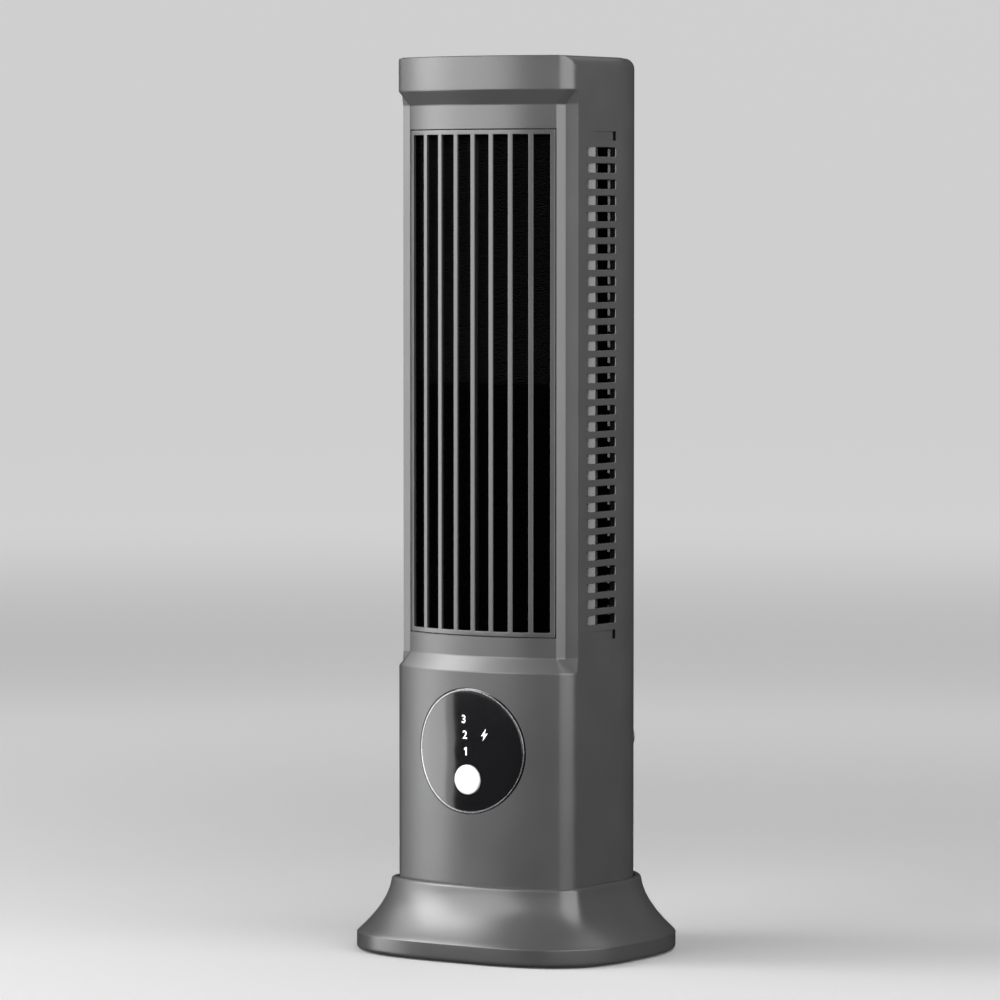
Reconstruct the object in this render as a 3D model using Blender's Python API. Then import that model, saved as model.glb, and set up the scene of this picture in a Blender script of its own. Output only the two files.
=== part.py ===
"""A rechargeable desk tower fan: a square column with a cross-flow impeller on a flared foot.

+Z is up, the front faces -Y, and the origin is on the floor under the centre of the foot.
"""
import math

import bmesh
import bpy
from mathutils import Matrix, Vector

MM = 0.001
FIT = 0.3 * MM            # gap between pieces that touch
SNUG = 0.15 * MM          # gap of a trim piece in its window

# Column plan
HEIGHT = 300 * MM
HALF_WIDTH = 35 * MM
FRONT_Y = -32.8 * MM      # front of the curved face, at its middle
FRONT_R = 74 * MM
CORNER_R = 6.5 * MM
REAR_Y = 36.6 * MM
BACK_FLAT = 5 * MM        # half the width of the flat strip down the back
REAR_R = HALF_WIDTH - BACK_FLAT
TOP_ROUND = 3.7 * MM
WALL = 2.2 * MM
HOUSING_Z = 19.6 * MM     # lower edge of the housing, inside the foot's collar

# Set-back field of the air outlet
RECESS = 2.83 * MM
SHOULDER_WIDTH = 4.2 * MM
FIELD_EDGE = 1.8 * MM     # rounded edge between the field's face and the shoulder
TOP_BAND = 11.2 * MM      # plain band above the field
FIELD_SLOPE = 4.85 * MM   # height of the sloped faces above and below the field
LOWER_MARGIN = 11.6 * MM  # from the ends of the field to the window
UPPER_MARGIN = 12.95 * MM
FIELD_Z0 = 96.0 * MM
FIELD_Z1 = HEIGHT - TOP_BAND
SHOULDER_X = HALF_WIDTH - SHOULDER_WIDTH
WINDOW_X = SHOULDER_X - FIELD_EDGE
WINDOW_Z0 = FIELD_Z0 + LOWER_MARGIN
WINDOW_Z1 = FIELD_Z1 - UPPER_MARGIN

# Grille
GRILLE_THICK = 1.2 * MM
GRILLE_FRAME = 1.8 * MM   # width of its frame beside the openings
BAR_COUNT = 7
BAR_WIDTH = 1.7 * MM
OPENING_X = WINDOW_X - GRILLE_FRAME
BAR_PITCH = (2 * OPENING_X + BAR_WIDTH) / (BAR_COUNT + 1)
OPENING_MARGIN = 1.65 * MM

# Air inlets
SLOT_PITCH = 5.355 * MM
SLOT_HEIGHT = 3.1 * MM
SLOT_INSET = 3.0 * MM     # from the slots to the start of the rear corner
SLOT_SHARE = 0.52         # slots' length as a share of the flat side in front of the inset
SLOT_TOP_Z = WINDOW_Z1 - 5.95 * MM
SLOT_COUNT = 1 + math.floor((SLOT_TOP_Z - SLOT_HEIGHT - WINDOW_Z0) / SLOT_PITCH)
SLOT_Y1 = REAR_Y - REAR_R - SLOT_INSET
COVER_FROM = 34.0         # degrees round the back where the rear cover starts
COVER_SLOT_FROM = 39.0
COVER_SLOT_TO = 73.0

# Foot
FOOT_SPREAD = 16 * MM     # how far the rim stands out beside the column
FOOT_HALF_X = HALF_WIDTH + FOOT_SPREAD
FOOT_HALF_Y = REAR_Y + 9.1 * MM
FOOT_MID_Y = -3.0 * MM    # widest line of the foot's plan
FOOT_POWER_FRONT = 3.15
FOOT_POWER_REAR = 2.53
COLLAR_Z = 24.8 * MM
COLLAR_OUT = 2.6 * MM
FOOT_WALL = 2.4 * MM
RIM_Z0 = 0.8 * MM
RIM_EASE = 0.9 * MM       # height of the eased lower edge of the rim
RIM_Z1 = 6.3 * MM
DECK_TOP = 19.2 * MM
DECK_THICK = 2.2 * MM
DECK_WIDTH = 11.0 * MM
FLARE_POWER = 1.8

# Control panel
PANEL_Z = 69.4 * MM
BEZEL_R = 20.85 * MM
BEZEL_WIDTH = 0.65 * MM
BEZEL_LIP = 1.8 * MM
BEZEL_DEPTH = 3.4 * MM
PANEL_PROUD = 0.2 * MM
LENS_THICK = 1.8 * MM
BUTTON_Z = 59.9 * MM
BUTTON_R = 5.0 * MM
BUTTON_PROUD = 0.7 * MM
BUTTON_TRAVEL = 0.8 * MM
BUTTON_DEPTH = 4.9 * MM

# Air path and drive
FLOOR_Z = FIELD_Z0 + 3.0 * MM
FLOOR_THICK = 4.0 * MM
CEILING_Z = WINDOW_Z1 - 1.25 * MM
CEILING_THICK = 3.4 * MM
DUCT_HALF = 0.6 * MM      # half the thickness of the walls beside the outlet
SPIN_Y = 6.7 * MM
IMPELLER_R = 21 * MM
IMPELLER_LOW_GAP = 1.5 * MM
IMPELLER_TOP_GAP = 2.0 * MM
IMPELLER_Z0 = FLOOR_Z + FLOOR_THICK + IMPELLER_LOW_GAP
IMPELLER_Z1 = CEILING_Z - IMPELLER_TOP_GAP
IMPELLER_MID_Z = IMPELLER_Z0 + 79.5 * MM
DISC_THICK = 2.0 * MM
DISC_MID_BORE_R = 12 * MM
HUB_BORE_R = 5.6 * MM
HUB_DEPTH = 4.0 * MM
BLADE_COUNT = 20
BLADE_WIDTH = 4.6 * MM    # how far a blade reaches inwards
BLADE_HALF = 0.45 * MM    # half its thickness
BLADE_INSET = 0.8 * MM    # from the discs' edge
BLADE_BITE = 0.7 * MM     # how far it runs into the end discs
BLADE_LEAN = 0.06         # radians, straight part of its lean
BLADE_CURVE = 0.26        # radians, curved part
SHAFT_R = 1.5 * MM
SHAFT_TAIL = 2.0 * MM
MOTOR_R = 11.6 * MM
MOTOR_Z0 = 80.0 * MM
MOTOR_SKIN = 1.0 * MM
MOTOR_CAP_THICK = 1.7 * MM
MOTOR_SCREW_X = 8 * MM
ROTOR_GAP = 0.9 * MM
ROTOR_LOW = 4.0 * MM      # rotor's ends, in from the motor's
ROTOR_TOP = 5.2 * MM
PIN_BITE = 8 * MM
BUSH_R = 4.4 * MM

# Battery
CELL_R = 9.1 * MM
CELL_LENGTH = 65 * MM
CELL_Y = REAR_Y - REAR_R + 2.1 * MM
CRADLE_Z = 22.4 * MM
CRADLE_HEIGHT = 9.6 * MM
CRADLE_WALL = 1.2 * MM
CELL_GAP = 0.9 * MM       # from the cradle to the side of the column
CELL_X = HALF_WIDTH - WALL - CELL_GAP - CRADLE_WALL - FIT - CELL_R

# Electronics
BOARD_Y = -24.5 * MM
BOARD_THICK = 1.6 * MM
BOARD_Z0 = 52 * MM
BOARD_Z1 = 88 * MM
BOARD_SCREW_X = BEZEL_R + 3.35 * MM
BOARD_HALF_X = BOARD_SCREW_X + 2.8 * MM
BOARD_SCREW_BITE = 2.3 * MM
SWITCH_HALF = 3.0 * MM
LAMP_HALF_W = 1.4 * MM
LAMP_HALF_H = 1.0 * MM
LAMP_THICK = 1.3 * MM
GUIDE_HALF_W = 1.9 * MM
GUIDE_HALF_H = 2.1 * MM
LEAD_R = 0.8 * MM
MARK_X = (-0.6 * MM, -1.0 * MM, -1.5 * MM, 6.6 * MM)
MARK_Z = (69.4 * MM, 74.9 * MM, 80.1 * MM, 75.1 * MM)
MARK_NAMES = ("1", "2", "3", "charge")
PORT_ANGLE = 54.0         # degrees round the right rear corner
PORT_Z = 70.9 * MM
PORT_HALF_W = 5.8 * MM
PORT_HALF_H = 3.6 * MM
PORT_PROUD = 0.5 * MM
PORT_TAIL = 0.6 * MM      # surround behind the wall
SOCKET_HALF_W = 4.5 * MM
SOCKET_HALF_H = 1.6 * MM
SOCKET_WALL = 0.4 * MM
SOCKET_DEPTH = 6.4 * MM
SOCKET_PROUD = 0.2 * MM
PORT_BOARD_THICK = 1.5 * MM

# Fasteners and feet
SCREW_R = 1.3 * MM
SCREW_HOLE_R = SCREW_R + 0.35 * MM
HEAD_R = SCREW_R + 1.4 * MM
HEAD_THICK = 1.3 * MM
BOSS_R = SCREW_HOLE_R + 1.65 * MM
BODY_SCREWS = ((HALF_WIDTH - 4.8 * MM, -11.5 * MM), (HALF_WIDTH - 15.5 * MM, REAR_Y - 9.1 * MM))
BASE_SCREWS = ((12.0 * MM, -28.5 * MM), (12.0 * MM, 31.5 * MM))
PAD_X = FOOT_HALF_X - 20.0 * MM
PAD_SPOTS = ((PAD_X, -23.5 * MM), (PAD_X, 24.0 * MM))
PAD_R = 5.0 * MM
PAD_THICK = 2.4 * MM
PLATE_Z = 1.2 * MM
PLATE_THICK = 3.0 * MM
PLATE_SPREAD = 0.72       # where the plate ends, from the collar to the rim
COVER_SCREW_X = 13.0 * MM
CHASSIS_THICK = 1.8 * MM
BALLAST = (52 * MM, 44 * MM, 6 * MM)

FRONT_STEPS = 6
CORNER_STEPS = 4
ROUND = 20                # sides of a small round piece


# ---------------------------------------------------------------- helpers
def clear_scene():
    for obj in list(bpy.data.objects):
        bpy.data.objects.remove(obj)


def material(name, colour, roughness, metallic=0.0):
    mat = bpy.data.materials.new(name)
    mat.use_nodes = True
    shader = mat.node_tree.nodes["Principled BSDF"]
    shader.inputs["Base Color"].default_value = (*colour, 1.0)
    shader.inputs["Roughness"].default_value = roughness
    shader.inputs["Metallic"].default_value = metallic
    return mat


def add_object(name, bm, mat, origin=(0.0, 0.0, 0.0)):
    """Turns a bmesh into a named object whose origin is at the given point."""
    bmesh.ops.recalc_face_normals(bm, faces=bm.faces)
    bmesh.ops.translate(bm, verts=bm.verts, vec=-Vector(origin))
    mesh = bpy.data.meshes.new(name)
    bm.to_mesh(mesh)
    bm.free()
    mesh.materials.append(mat)
    mesh.shade_smooth()
    mesh.set_sharp_from_angle(angle=math.radians(30))
    obj = bpy.data.objects.new(name, mesh)
    obj.location = origin
    bpy.context.scene.collection.objects.link(obj)
    return obj


def add_prism(bm, outline, z0, z1):
    """A straight-sided solid over a plan outline, between two heights."""
    low = [bm.verts.new((x, y, z0)) for x, y in outline]
    high = [bm.verts.new((x, y, z1)) for x, y in outline]
    bm.faces.new(list(reversed(low)))
    bm.faces.new(high)
    count = len(outline)
    for i in range(count):
        j = (i + 1) % count
        bm.faces.new((low[i], low[j], high[j], high[i]))
    return low + high


def add_box(bm, low, high):
    outline = ((low[0], low[1]), (high[0], low[1]), (high[0], high[1]), (low[0], high[1]))
    return add_prism(bm, outline, low[2], high[2])


def circle(x, y, radius, sides=ROUND):
    turns = [2 * math.pi * i / sides for i in range(sides)]
    return [(x + radius * math.cos(t), y + radius * math.sin(t)) for t in turns]


def add_turned(bm, profile, centre=(0.0, 0.0), sides=ROUND):
    """A ring turned about a vertical axis from a closed (radius, height) profile."""
    rings = []
    for i in range(sides):
        t = 2 * math.pi * i / sides
        rings.append([
            bm.verts.new((centre[0] + r * math.cos(t), centre[1] + r * math.sin(t), z))
            for r, z in profile
        ])
    count = len(profile)
    for i in range(sides):
        here, there = rings[i], rings[(i + 1) % sides]
        for k in range(count):
            n = (k + 1) % count
            bm.faces.new((here[k], there[k], there[n], here[n]))


def lay_along_y(verts, centre, direction=1.0):
    """Turns a piece built along +Z so that it points along Y and moves it to its place."""
    turn = Matrix.Rotation(math.radians(-90.0 * direction), 4, "X")
    for v in verts:
        v.co = Matrix.Translation(centre) @ turn @ v.co


def cutter(name, bm):
    obj = add_object(name, bm, CUT_MAT)
    obj.hide_render = True
    obj.display_type = "WIRE"
    return obj


def boolean(obj, other, operation, crossing=False):
    """Joins or cuts with a guide; crossing says that the guide's own shapes run through each other."""
    mod = obj.modifiers.new(other.name, "BOOLEAN")
    mod.operation = operation
    mod.solver = "EXACT"
    mod.use_self = crossing
    mod.object = other


def stadium(half_w, half_h, steps=6):
    """A rounded slot outline, longer than it is high."""
    points = []
    run = half_w - half_h
    for side in (1, -1):
        for i in range(steps + 1):
            t = math.radians(-90 + 180 * i / steps)
            points.append((side * (run + half_h * math.cos(t)), side * half_h * math.sin(t)))
    return points


# ---------------------------------------------------------------- column plan
def front_arc_y(x, set_back=0.0):
    """Y of the curved front face at x, set back from the outer face by the given depth."""
    centre_y = FRONT_Y + FRONT_R
    return centre_y - math.sqrt((FRONT_R - set_back) ** 2 - x * x)


def corner_centre_y(half_w):
    run = half_w - CORNER_R
    return FRONT_Y + FRONT_R - math.sqrt((FRONT_R - CORNER_R) ** 2 - run * run)


SHOULDER_Y = corner_centre_y(HALF_WIDTH)
SLOT_Y0 = SLOT_Y1 - SLOT_SHARE * (SLOT_Y1 - SHOULDER_Y)


def full_corner(half_w):
    """Front arc and rounded corner of the plain column, from the middle to the side."""
    run = half_w - CORNER_R
    mid_y = corner_centre_y(half_w)
    start = math.atan2(run, FRONT_Y + FRONT_R - mid_y)
    end_x = FRONT_R * math.sin(start)
    points = []
    for i in range(FRONT_STEPS + 1):
        x = end_x * i / FRONT_STEPS
        points.append((x, front_arc_y(x)))
    last = math.radians(84)
    for i in range(1, CORNER_STEPS + 1):
        t = start + (last - start) * i / CORNER_STEPS
        points.append((run + CORNER_R * math.sin(t), mid_y - CORNER_R * math.cos(t)))
    points.append((half_w, mid_y))
    return points


def field_corner():
    """Front arc of the set-back field, its rounded edge and the flat shoulder beside it."""
    points = []
    for i in range(FRONT_STEPS + 1):
        x = WINDOW_X * i / FRONT_STEPS
        points.append((x, front_arc_y(x, RECESS)))
    lean = math.asin(WINDOW_X / (FRONT_R - RECESS))
    start = points[-1]
    bend = (SHOULDER_X, start[1] + (SHOULDER_X - start[0]) * math.tan(lean))
    end = (SHOULDER_X, SHOULDER_Y)
    for i in range(1, CORNER_STEPS + 1):
        t = i / CORNER_STEPS
        u = 1 - t
        points.append(tuple(u * u * a + 2 * u * t * b + t * t * c for a, b, c in zip(start, bend, end)))
    points.append((HALF_WIDTH, SHOULDER_Y))
    return points


def rear_point(degrees, radius=REAR_R):
    t = math.radians(degrees)
    middle_x = HALF_WIDTH - REAR_R
    middle_y = REAR_Y - REAR_R
    return (middle_x + radius * math.cos(t), middle_y + radius * math.sin(t))


REAR_TURNS = (0.0, 17.0, COVER_FROM, 48.0, 62.0, 76.0, 90.0)


def plan(field=False, shrink=0.0):
    """The column's plan as a closed loop; shrink pulls the sides and the back inwards."""
    half_w = HALF_WIDTH - shrink
    half = field_corner() if field else full_corner(half_w)
    half.append((half_w, SLOT_Y0))
    half.append((half_w, SLOT_Y1))
    half += [rear_point(turn, REAR_R - shrink) for turn in REAR_TURNS]
    half.append((0.0, REAR_Y - shrink))
    return half + [(-x, y) for x, y in reversed(half[1:-1])]


def offset_loop(loop, depth):
    """The loop moved inwards by a depth, with each corner kept on its mitre."""
    result = []
    count = len(loop)
    for i in range(count):
        before = Vector(loop[i]) - Vector(loop[i - 1])
        after = Vector(loop[(i + 1) % count]) - Vector(loop[i])
        n0 = Vector((-before.y, before.x)).normalized()
        n1 = Vector((-after.y, after.x)).normalized()
        mitre = (n0 + n1) / (1 + n0.dot(n1))
        result.append(tuple(Vector(loop[i]) + mitre * depth))
    return result


FIELD_INNER = offset_loop(plan(field=True), WALL)
PLAIN_INNER = offset_loop(plan(), WALL)
FRONT_CELLS = FRONT_STEPS
SLOT_CELL = FRONT_STEPS + CORNER_STEPS + 2
WINDOW_CELL = SLOT_CELL + 1 + 3      # first cell of the rear window, past the start angle
LOOP_COUNT = len(plan())


def both_sides(cells):
    """The same cells on the right and, mirrored, on the left of the loop."""
    return set(cells) | {LOOP_COUNT - 1 - c for c in cells}


def add_shell(bm, levels, holes):
    """A walled body from (height, outer loop, inner height, inner loop) levels with open cells."""
    outer = [[bm.verts.new((x, y, z)) for x, y in loop] for z, loop, _, _ in levels]
    inner = [[bm.verts.new((x, y, z)) for x, y in loop] for _, _, z, loop in levels]
    count = len(outer[0])
    rows = len(levels) - 1
    for k in range(rows):
        for j in range(count):
            n = (j + 1) % count
            if (j, k) not in holes:
                bm.faces.new((outer[k][j], outer[k][n], outer[k + 1][n], outer[k + 1][j]))
                bm.faces.new((inner[k][n], inner[k][j], inner[k + 1][j], inner[k + 1][n]))
                continue
            if (n, k) not in holes:
                bm.faces.new((outer[k][n], inner[k][n], inner[k + 1][n], outer[k + 1][n]))
            if ((j - 1) % count, k) not in holes:
                bm.faces.new((outer[k][j], outer[k + 1][j], inner[k + 1][j], inner[k][j]))
            if (j, k - 1) not in holes:
                bm.faces.new((outer[k][j], inner[k][j], inner[k][n], outer[k][n]))
            if (j, k + 1) not in holes:
                bm.faces.new((outer[k + 1][j], outer[k + 1][n], inner[k + 1][n], inner[k + 1][j]))
    for j in range(count):
        n = (j + 1) % count
        bm.faces.new((outer[0][n], outer[0][j], inner[0][j], inner[0][n]))
    bm.faces.new(outer[-1])
    bm.faces.new(list(reversed(inner[-1])))
    tidy(bm)


def tidy(bm):
    """Drops unused points and joins flat neighbours into single faces."""
    loose = [v for v in bm.verts if not v.link_faces]
    bmesh.ops.delete(bm, geom=loose, context="VERTS")
    bmesh.ops.recalc_face_normals(bm, faces=bm.faces)
    bmesh.ops.dissolve_limit(
        bm, angle_limit=math.radians(0.05), verts=bm.verts, edges=bm.edges, use_dissolve_boundaries=False
    )


def slot_heights():
    """Lower and upper edges of the inlet slots, from the lowest slot up."""
    tops = [SLOT_TOP_Z - SLOT_PITCH * i for i in reversed(range(SLOT_COUNT))]
    return [(top - SLOT_HEIGHT, top) for top in tops]


# ---------------------------------------------------------------- column
def make_housing():
    """Front, sides and top in one moulding, open below and with a tall window at the back."""
    plain, field = plan(), plan(field=True)
    heights = [HOUSING_Z, FIELD_Z0, FIELD_Z0 + FIELD_SLOPE, WINDOW_Z0]
    for low, high in slot_heights():
        heights += [low, high]
    heights += [WINDOW_Z1, FIELD_Z1 - FIELD_SLOPE, FIELD_Z1]
    levels = []
    for z in heights:
        in_field = FIELD_Z0 < z < FIELD_Z1
        levels.append((z, field if in_field else plain, z, FIELD_INNER if in_field else PLAIN_INNER))
    roof_z = HEIGHT - WALL
    for turn in (0, 30, 60, 90):
        shrink = TOP_ROUND * (1 - math.cos(math.radians(turn)))
        lift = math.sin(math.radians(turn))
        z = HEIGHT - TOP_ROUND + TOP_ROUND * lift
        inner_round = TOP_ROUND - WALL
        inner_z = roof_z - inner_round + inner_round * lift
        inner_shrink = inner_round * (1 - math.cos(math.radians(turn)))
        levels.append((z, plan(shrink=shrink), inner_z, offset_loop(plan(shrink=inner_shrink), WALL)))
    holes = set()
    window_rows = range(heights.index(WINDOW_Z0), heights.index(WINDOW_Z1))
    for cell in both_sides(range(FRONT_CELLS)):
        holes |= {(cell, k) for k in window_rows}
    for low, _ in slot_heights():
        holes |= {(cell, heights.index(low)) for cell in both_sides([SLOT_CELL])}
    back_rows = range(heights.index(FIELD_Z0), heights.index(FIELD_Z1))
    for cell in both_sides(range(WINDOW_CELL, LOOP_COUNT // 2)):
        holes |= {(cell, k) for k in back_rows}
    bm = bmesh.new()
    add_shell(bm, levels, holes)
    housing = add_object("housing", bm, BODY_MAT)

    bm = bmesh.new()
    for side in (1, -1):
        for x, y in BODY_SCREWS:
            add_prism(bm, circle(side * x, y, BOSS_R, 12), HOUSING_Z + 3 * CHASSIS_THICK, HOUSING_Z + 16 * MM)
        wall_middle = front_arc_y(BOARD_SCREW_X) + WALL / 2
        boss = add_prism(bm, circle(0, 0, BOSS_R, 12), 0.0, BOARD_Y - FIT - wall_middle)
        lay_along_y(boss, Vector((side * BOARD_SCREW_X, wall_middle, PANEL_Z)))
    boolean(housing, cutter("cut_bosses", bm), "UNION")

    bm = bmesh.new()
    hole = add_prism(bm, circle(0, 0, BEZEL_R + SNUG, 32), -12 * MM, 10 * MM)
    lay_along_y(hole, Vector((0, FRONT_Y, PANEL_Z)))
    for side in (1, -1):
        for x, y in BODY_SCREWS:
            add_prism(bm, circle(side * x, y, SCREW_HOLE_R, 10), HOUSING_Z, HOUSING_Z + 12 * MM)
        pilot = add_prism(bm, circle(0, 0, SCREW_HOLE_R, 10), -BOARD_SCREW_BITE - FIT, 1.0 * MM)
        lay_along_y(pilot, Vector((side * BOARD_SCREW_X, BOARD_Y - FIT, PANEL_Z)))
    port = add_prism(bm, stadium(PORT_HALF_W + SNUG, PORT_HALF_H + SNUG), REAR_R - 2 * WALL, REAR_R + 2 * WALL)
    place_at_port(port)
    boolean(housing, cutter("cut_housing", bm), "DIFFERENCE")


def make_rear_cover():
    """The curved back with its two columns of inlet slots, closing the housing's window."""
    gap = math.degrees(FIT / REAR_R)
    turns = [COVER_FROM + gap, COVER_SLOT_FROM]
    steps = 2
    turns += [COVER_SLOT_FROM + (COVER_SLOT_TO - COVER_SLOT_FROM) * (i + 1) / steps for i in range(steps)]
    turns.append(90.0)
    half = turns + [None]
    heights = [FIELD_Z0 + FIT]
    for low, high in slot_heights():
        heights += [low, high]
    heights.append(FIELD_Z1 - FIT)
    bm = bmesh.new()
    columns = [rear_pair(turn) for turn in half]
    columns += [tuple((-x, y) for x, y in pair) for pair in reversed(columns[:-1])]
    holes = set()
    last = len(columns) - 2
    for low, _ in slot_heights():
        row = heights.index(low)
        for cell in range(1, 1 + steps):
            holes |= {(cell, row), (last - cell, row)}
    add_panel(bm, columns, heights, holes)
    cover = add_object("rear_cover", bm, COVER_MAT)

    bm = bmesh.new()
    for x, z in cover_screw_spots():
        y = rear_surface_y(x)
        shank = add_prism(bm, circle(0, 0, SCREW_HOLE_R, 10), -6 * MM, 6 * MM)
        lay_along_y(shank, Vector((x, y, z)))
        head = add_prism(bm, circle(0, 0, HEAD_R + FIT, 12), -0.9 * MM, 6 * MM)
        lay_along_y(head, Vector((x, y, z)))
    boolean(cover, cutter("cut_cover", bm), "DIFFERENCE", True)


def rear_surface_y(x):
    run = abs(x) - (HALF_WIDTH - REAR_R)
    return REAR_Y - REAR_R + math.sqrt(REAR_R ** 2 - max(run, 0.0) ** 2)


def cover_screw_spots():
    heights = (FLOOR_Z + FLOOR_THICK / 2, CEILING_Z + CEILING_THICK / 2)
    return [(side * COVER_SCREW_X, z) for z in heights for side in (1, -1)]


def rear_pair(turn):
    """Outer and inner point of the back wall at an angle, or on the middle line."""
    if turn is None:
        return ((0.0, REAR_Y), (0.0, REAR_Y - WALL))
    return (rear_point(turn), rear_point(turn, REAR_R - WALL))


def add_panel(bm, columns, heights, holes):
    """A curved plate from outer and inner plan points, with open cells."""
    outer = [[bm.verts.new((*pair[0], z)) for pair in columns] for z in heights]
    inner = [[bm.verts.new((*pair[1], z)) for pair in columns] for z in heights]
    last_row, last_col = len(heights) - 1, len(columns) - 1

    def solid(j, k):
        return 0 <= j < last_col and 0 <= k < last_row and (j, k) not in holes

    for k in range(last_row):
        for j in range(last_col):
            if not solid(j, k):
                continue
            bm.faces.new((outer[k][j], outer[k][j + 1], outer[k + 1][j + 1], outer[k + 1][j]))
            bm.faces.new((inner[k][j + 1], inner[k][j], inner[k + 1][j], inner[k + 1][j + 1]))
            if not solid(j + 1, k):
                bm.faces.new((outer[k][j + 1], inner[k][j + 1], inner[k + 1][j + 1], outer[k + 1][j + 1]))
            if not solid(j - 1, k):
                bm.faces.new((outer[k][j], outer[k + 1][j], inner[k + 1][j], inner[k][j]))
            if not solid(j, k - 1):
                bm.faces.new((outer[k][j], inner[k][j], inner[k][j + 1], outer[k][j + 1]))
            if not solid(j, k + 1):
                bm.faces.new((outer[k + 1][j], outer[k + 1][j + 1], inner[k + 1][j + 1], inner[k + 1][j]))
    tidy(bm)


def grille_pair(x):
    """Front and back point of the grille at x, square to its curved face."""
    centre = Vector((0.0, FRONT_Y + FRONT_R))
    front = Vector((x, front_arc_y(x, RECESS)))
    inwards = (centre - front).normalized()
    return (tuple(front), tuple(front + inwards * GRILLE_THICK))


def make_grille():
    """The outlet insert: a curved frame with seven upright bars."""
    half = WINDOW_X - SNUG
    edges = [-half, -OPENING_X]
    for i in range(BAR_COUNT):
        middle = BAR_PITCH * (i - (BAR_COUNT - 1) / 2)
        edges += [middle - BAR_WIDTH / 2, middle + BAR_WIDTH / 2]
    edges += [OPENING_X, half]
    columns = [grille_pair(x) for x in edges]
    z0, z1 = WINDOW_Z0 + SNUG, WINDOW_Z1 - SNUG
    heights = [z0, z0 + OPENING_MARGIN, z1 - OPENING_MARGIN, z1]
    holes = {(j, 1) for j in range(1, len(edges) - 1, 2)}
    bm = bmesh.new()
    add_panel(bm, columns, heights, holes)
    add_object("grille", bm, GRILLE_MAT)


# ---------------------------------------------------------------- air path and drive
def ribbon(points, half):
    """A closed outline of even thickness along an open line."""
    left, right = [], []
    count = len(points)
    for i in range(count):
        ahead = Vector(points[min(i + 1, count - 1)]) - Vector(points[max(i - 1, 0)])
        side = Vector((-ahead.y, ahead.x)).normalized() * half
        left.append(tuple(Vector(points[i]) + side))
        right.append(tuple(Vector(points[i]) - side))
    return left + list(reversed(right))


def make_duct_walls():
    """Two upright walls that lead the air from beside the impeller to the outlet."""
    out_x = HALF_WIDTH - WALL - DUCT_HALF - 0.5 * MM
    in_x = SHOULDER_X - WALL - DUCT_HALF - 0.6 * MM
    line = [
        (in_x, SHOULDER_Y - 1.0 * MM), (in_x, SHOULDER_Y + 3.6 * MM), (in_x + 2.4 * MM, SHOULDER_Y + 5.6 * MM),
        (out_x, SHOULDER_Y + 8.2 * MM), (out_x, -4.2 * MM), (out_x - 0.8 * MM, -2.6 * MM),
        (out_x - 2.6 * MM, -1.9 * MM), (out_x - 6.0 * MM, -3.4 * MM), (out_x - 10.5 * MM, -5.4 * MM),
    ]
    for name, side in (("duct_wall_right", 1), ("duct_wall_left", -1)):
        bm = bmesh.new()
        outline = [(side * x, y) for x, y in ribbon(line, DUCT_HALF)]
        add_prism(bm, outline, FLOOR_Z + FLOOR_THICK + FIT, CEILING_Z - FIT)
        add_object(name, bm, DUCT_MAT)


def make_plates():
    """The floor and ceiling of the air path; the cover's screws bite into their rear edges."""
    outline = offset_loop(FIELD_INNER, 2 * FIT)
    for name, z, thick, hole_r in (
        ("duct_floor", FLOOR_Z, FLOOR_THICK, SHAFT_R + 2.1 * MM),
        ("duct_ceiling", CEILING_Z, CEILING_THICK, BUSH_R + FIT / 2),
    ):
        bm = bmesh.new()
        add_prism(bm, outline, z, z + thick)
        tidy(bm)
        plate = add_object(name, bm, DUCT_MAT)
        bm = bmesh.new()
        add_prism(bm, circle(0, SPIN_Y, hole_r), z - MM, z + thick + MM)
        for x, spot_z in cover_screw_spots():
            if z < spot_z < z + thick:
                pilot = add_prism(bm, circle(0, 0, SCREW_R + FIT, 8), -12 * MM, 2 * MM)
                lay_along_y(pilot, Vector((x, rear_surface_y(x), spot_z)))
        if z == FLOOR_Z:
            for side in (1, -1):
                add_prism(bm, circle(side * MOTOR_SCREW_X, SPIN_Y, SCREW_R + FIT, 8), z - MM, z + thick + MM)
        boolean(plate, cutter("cut_" + name, bm), "DIFFERENCE")


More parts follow.
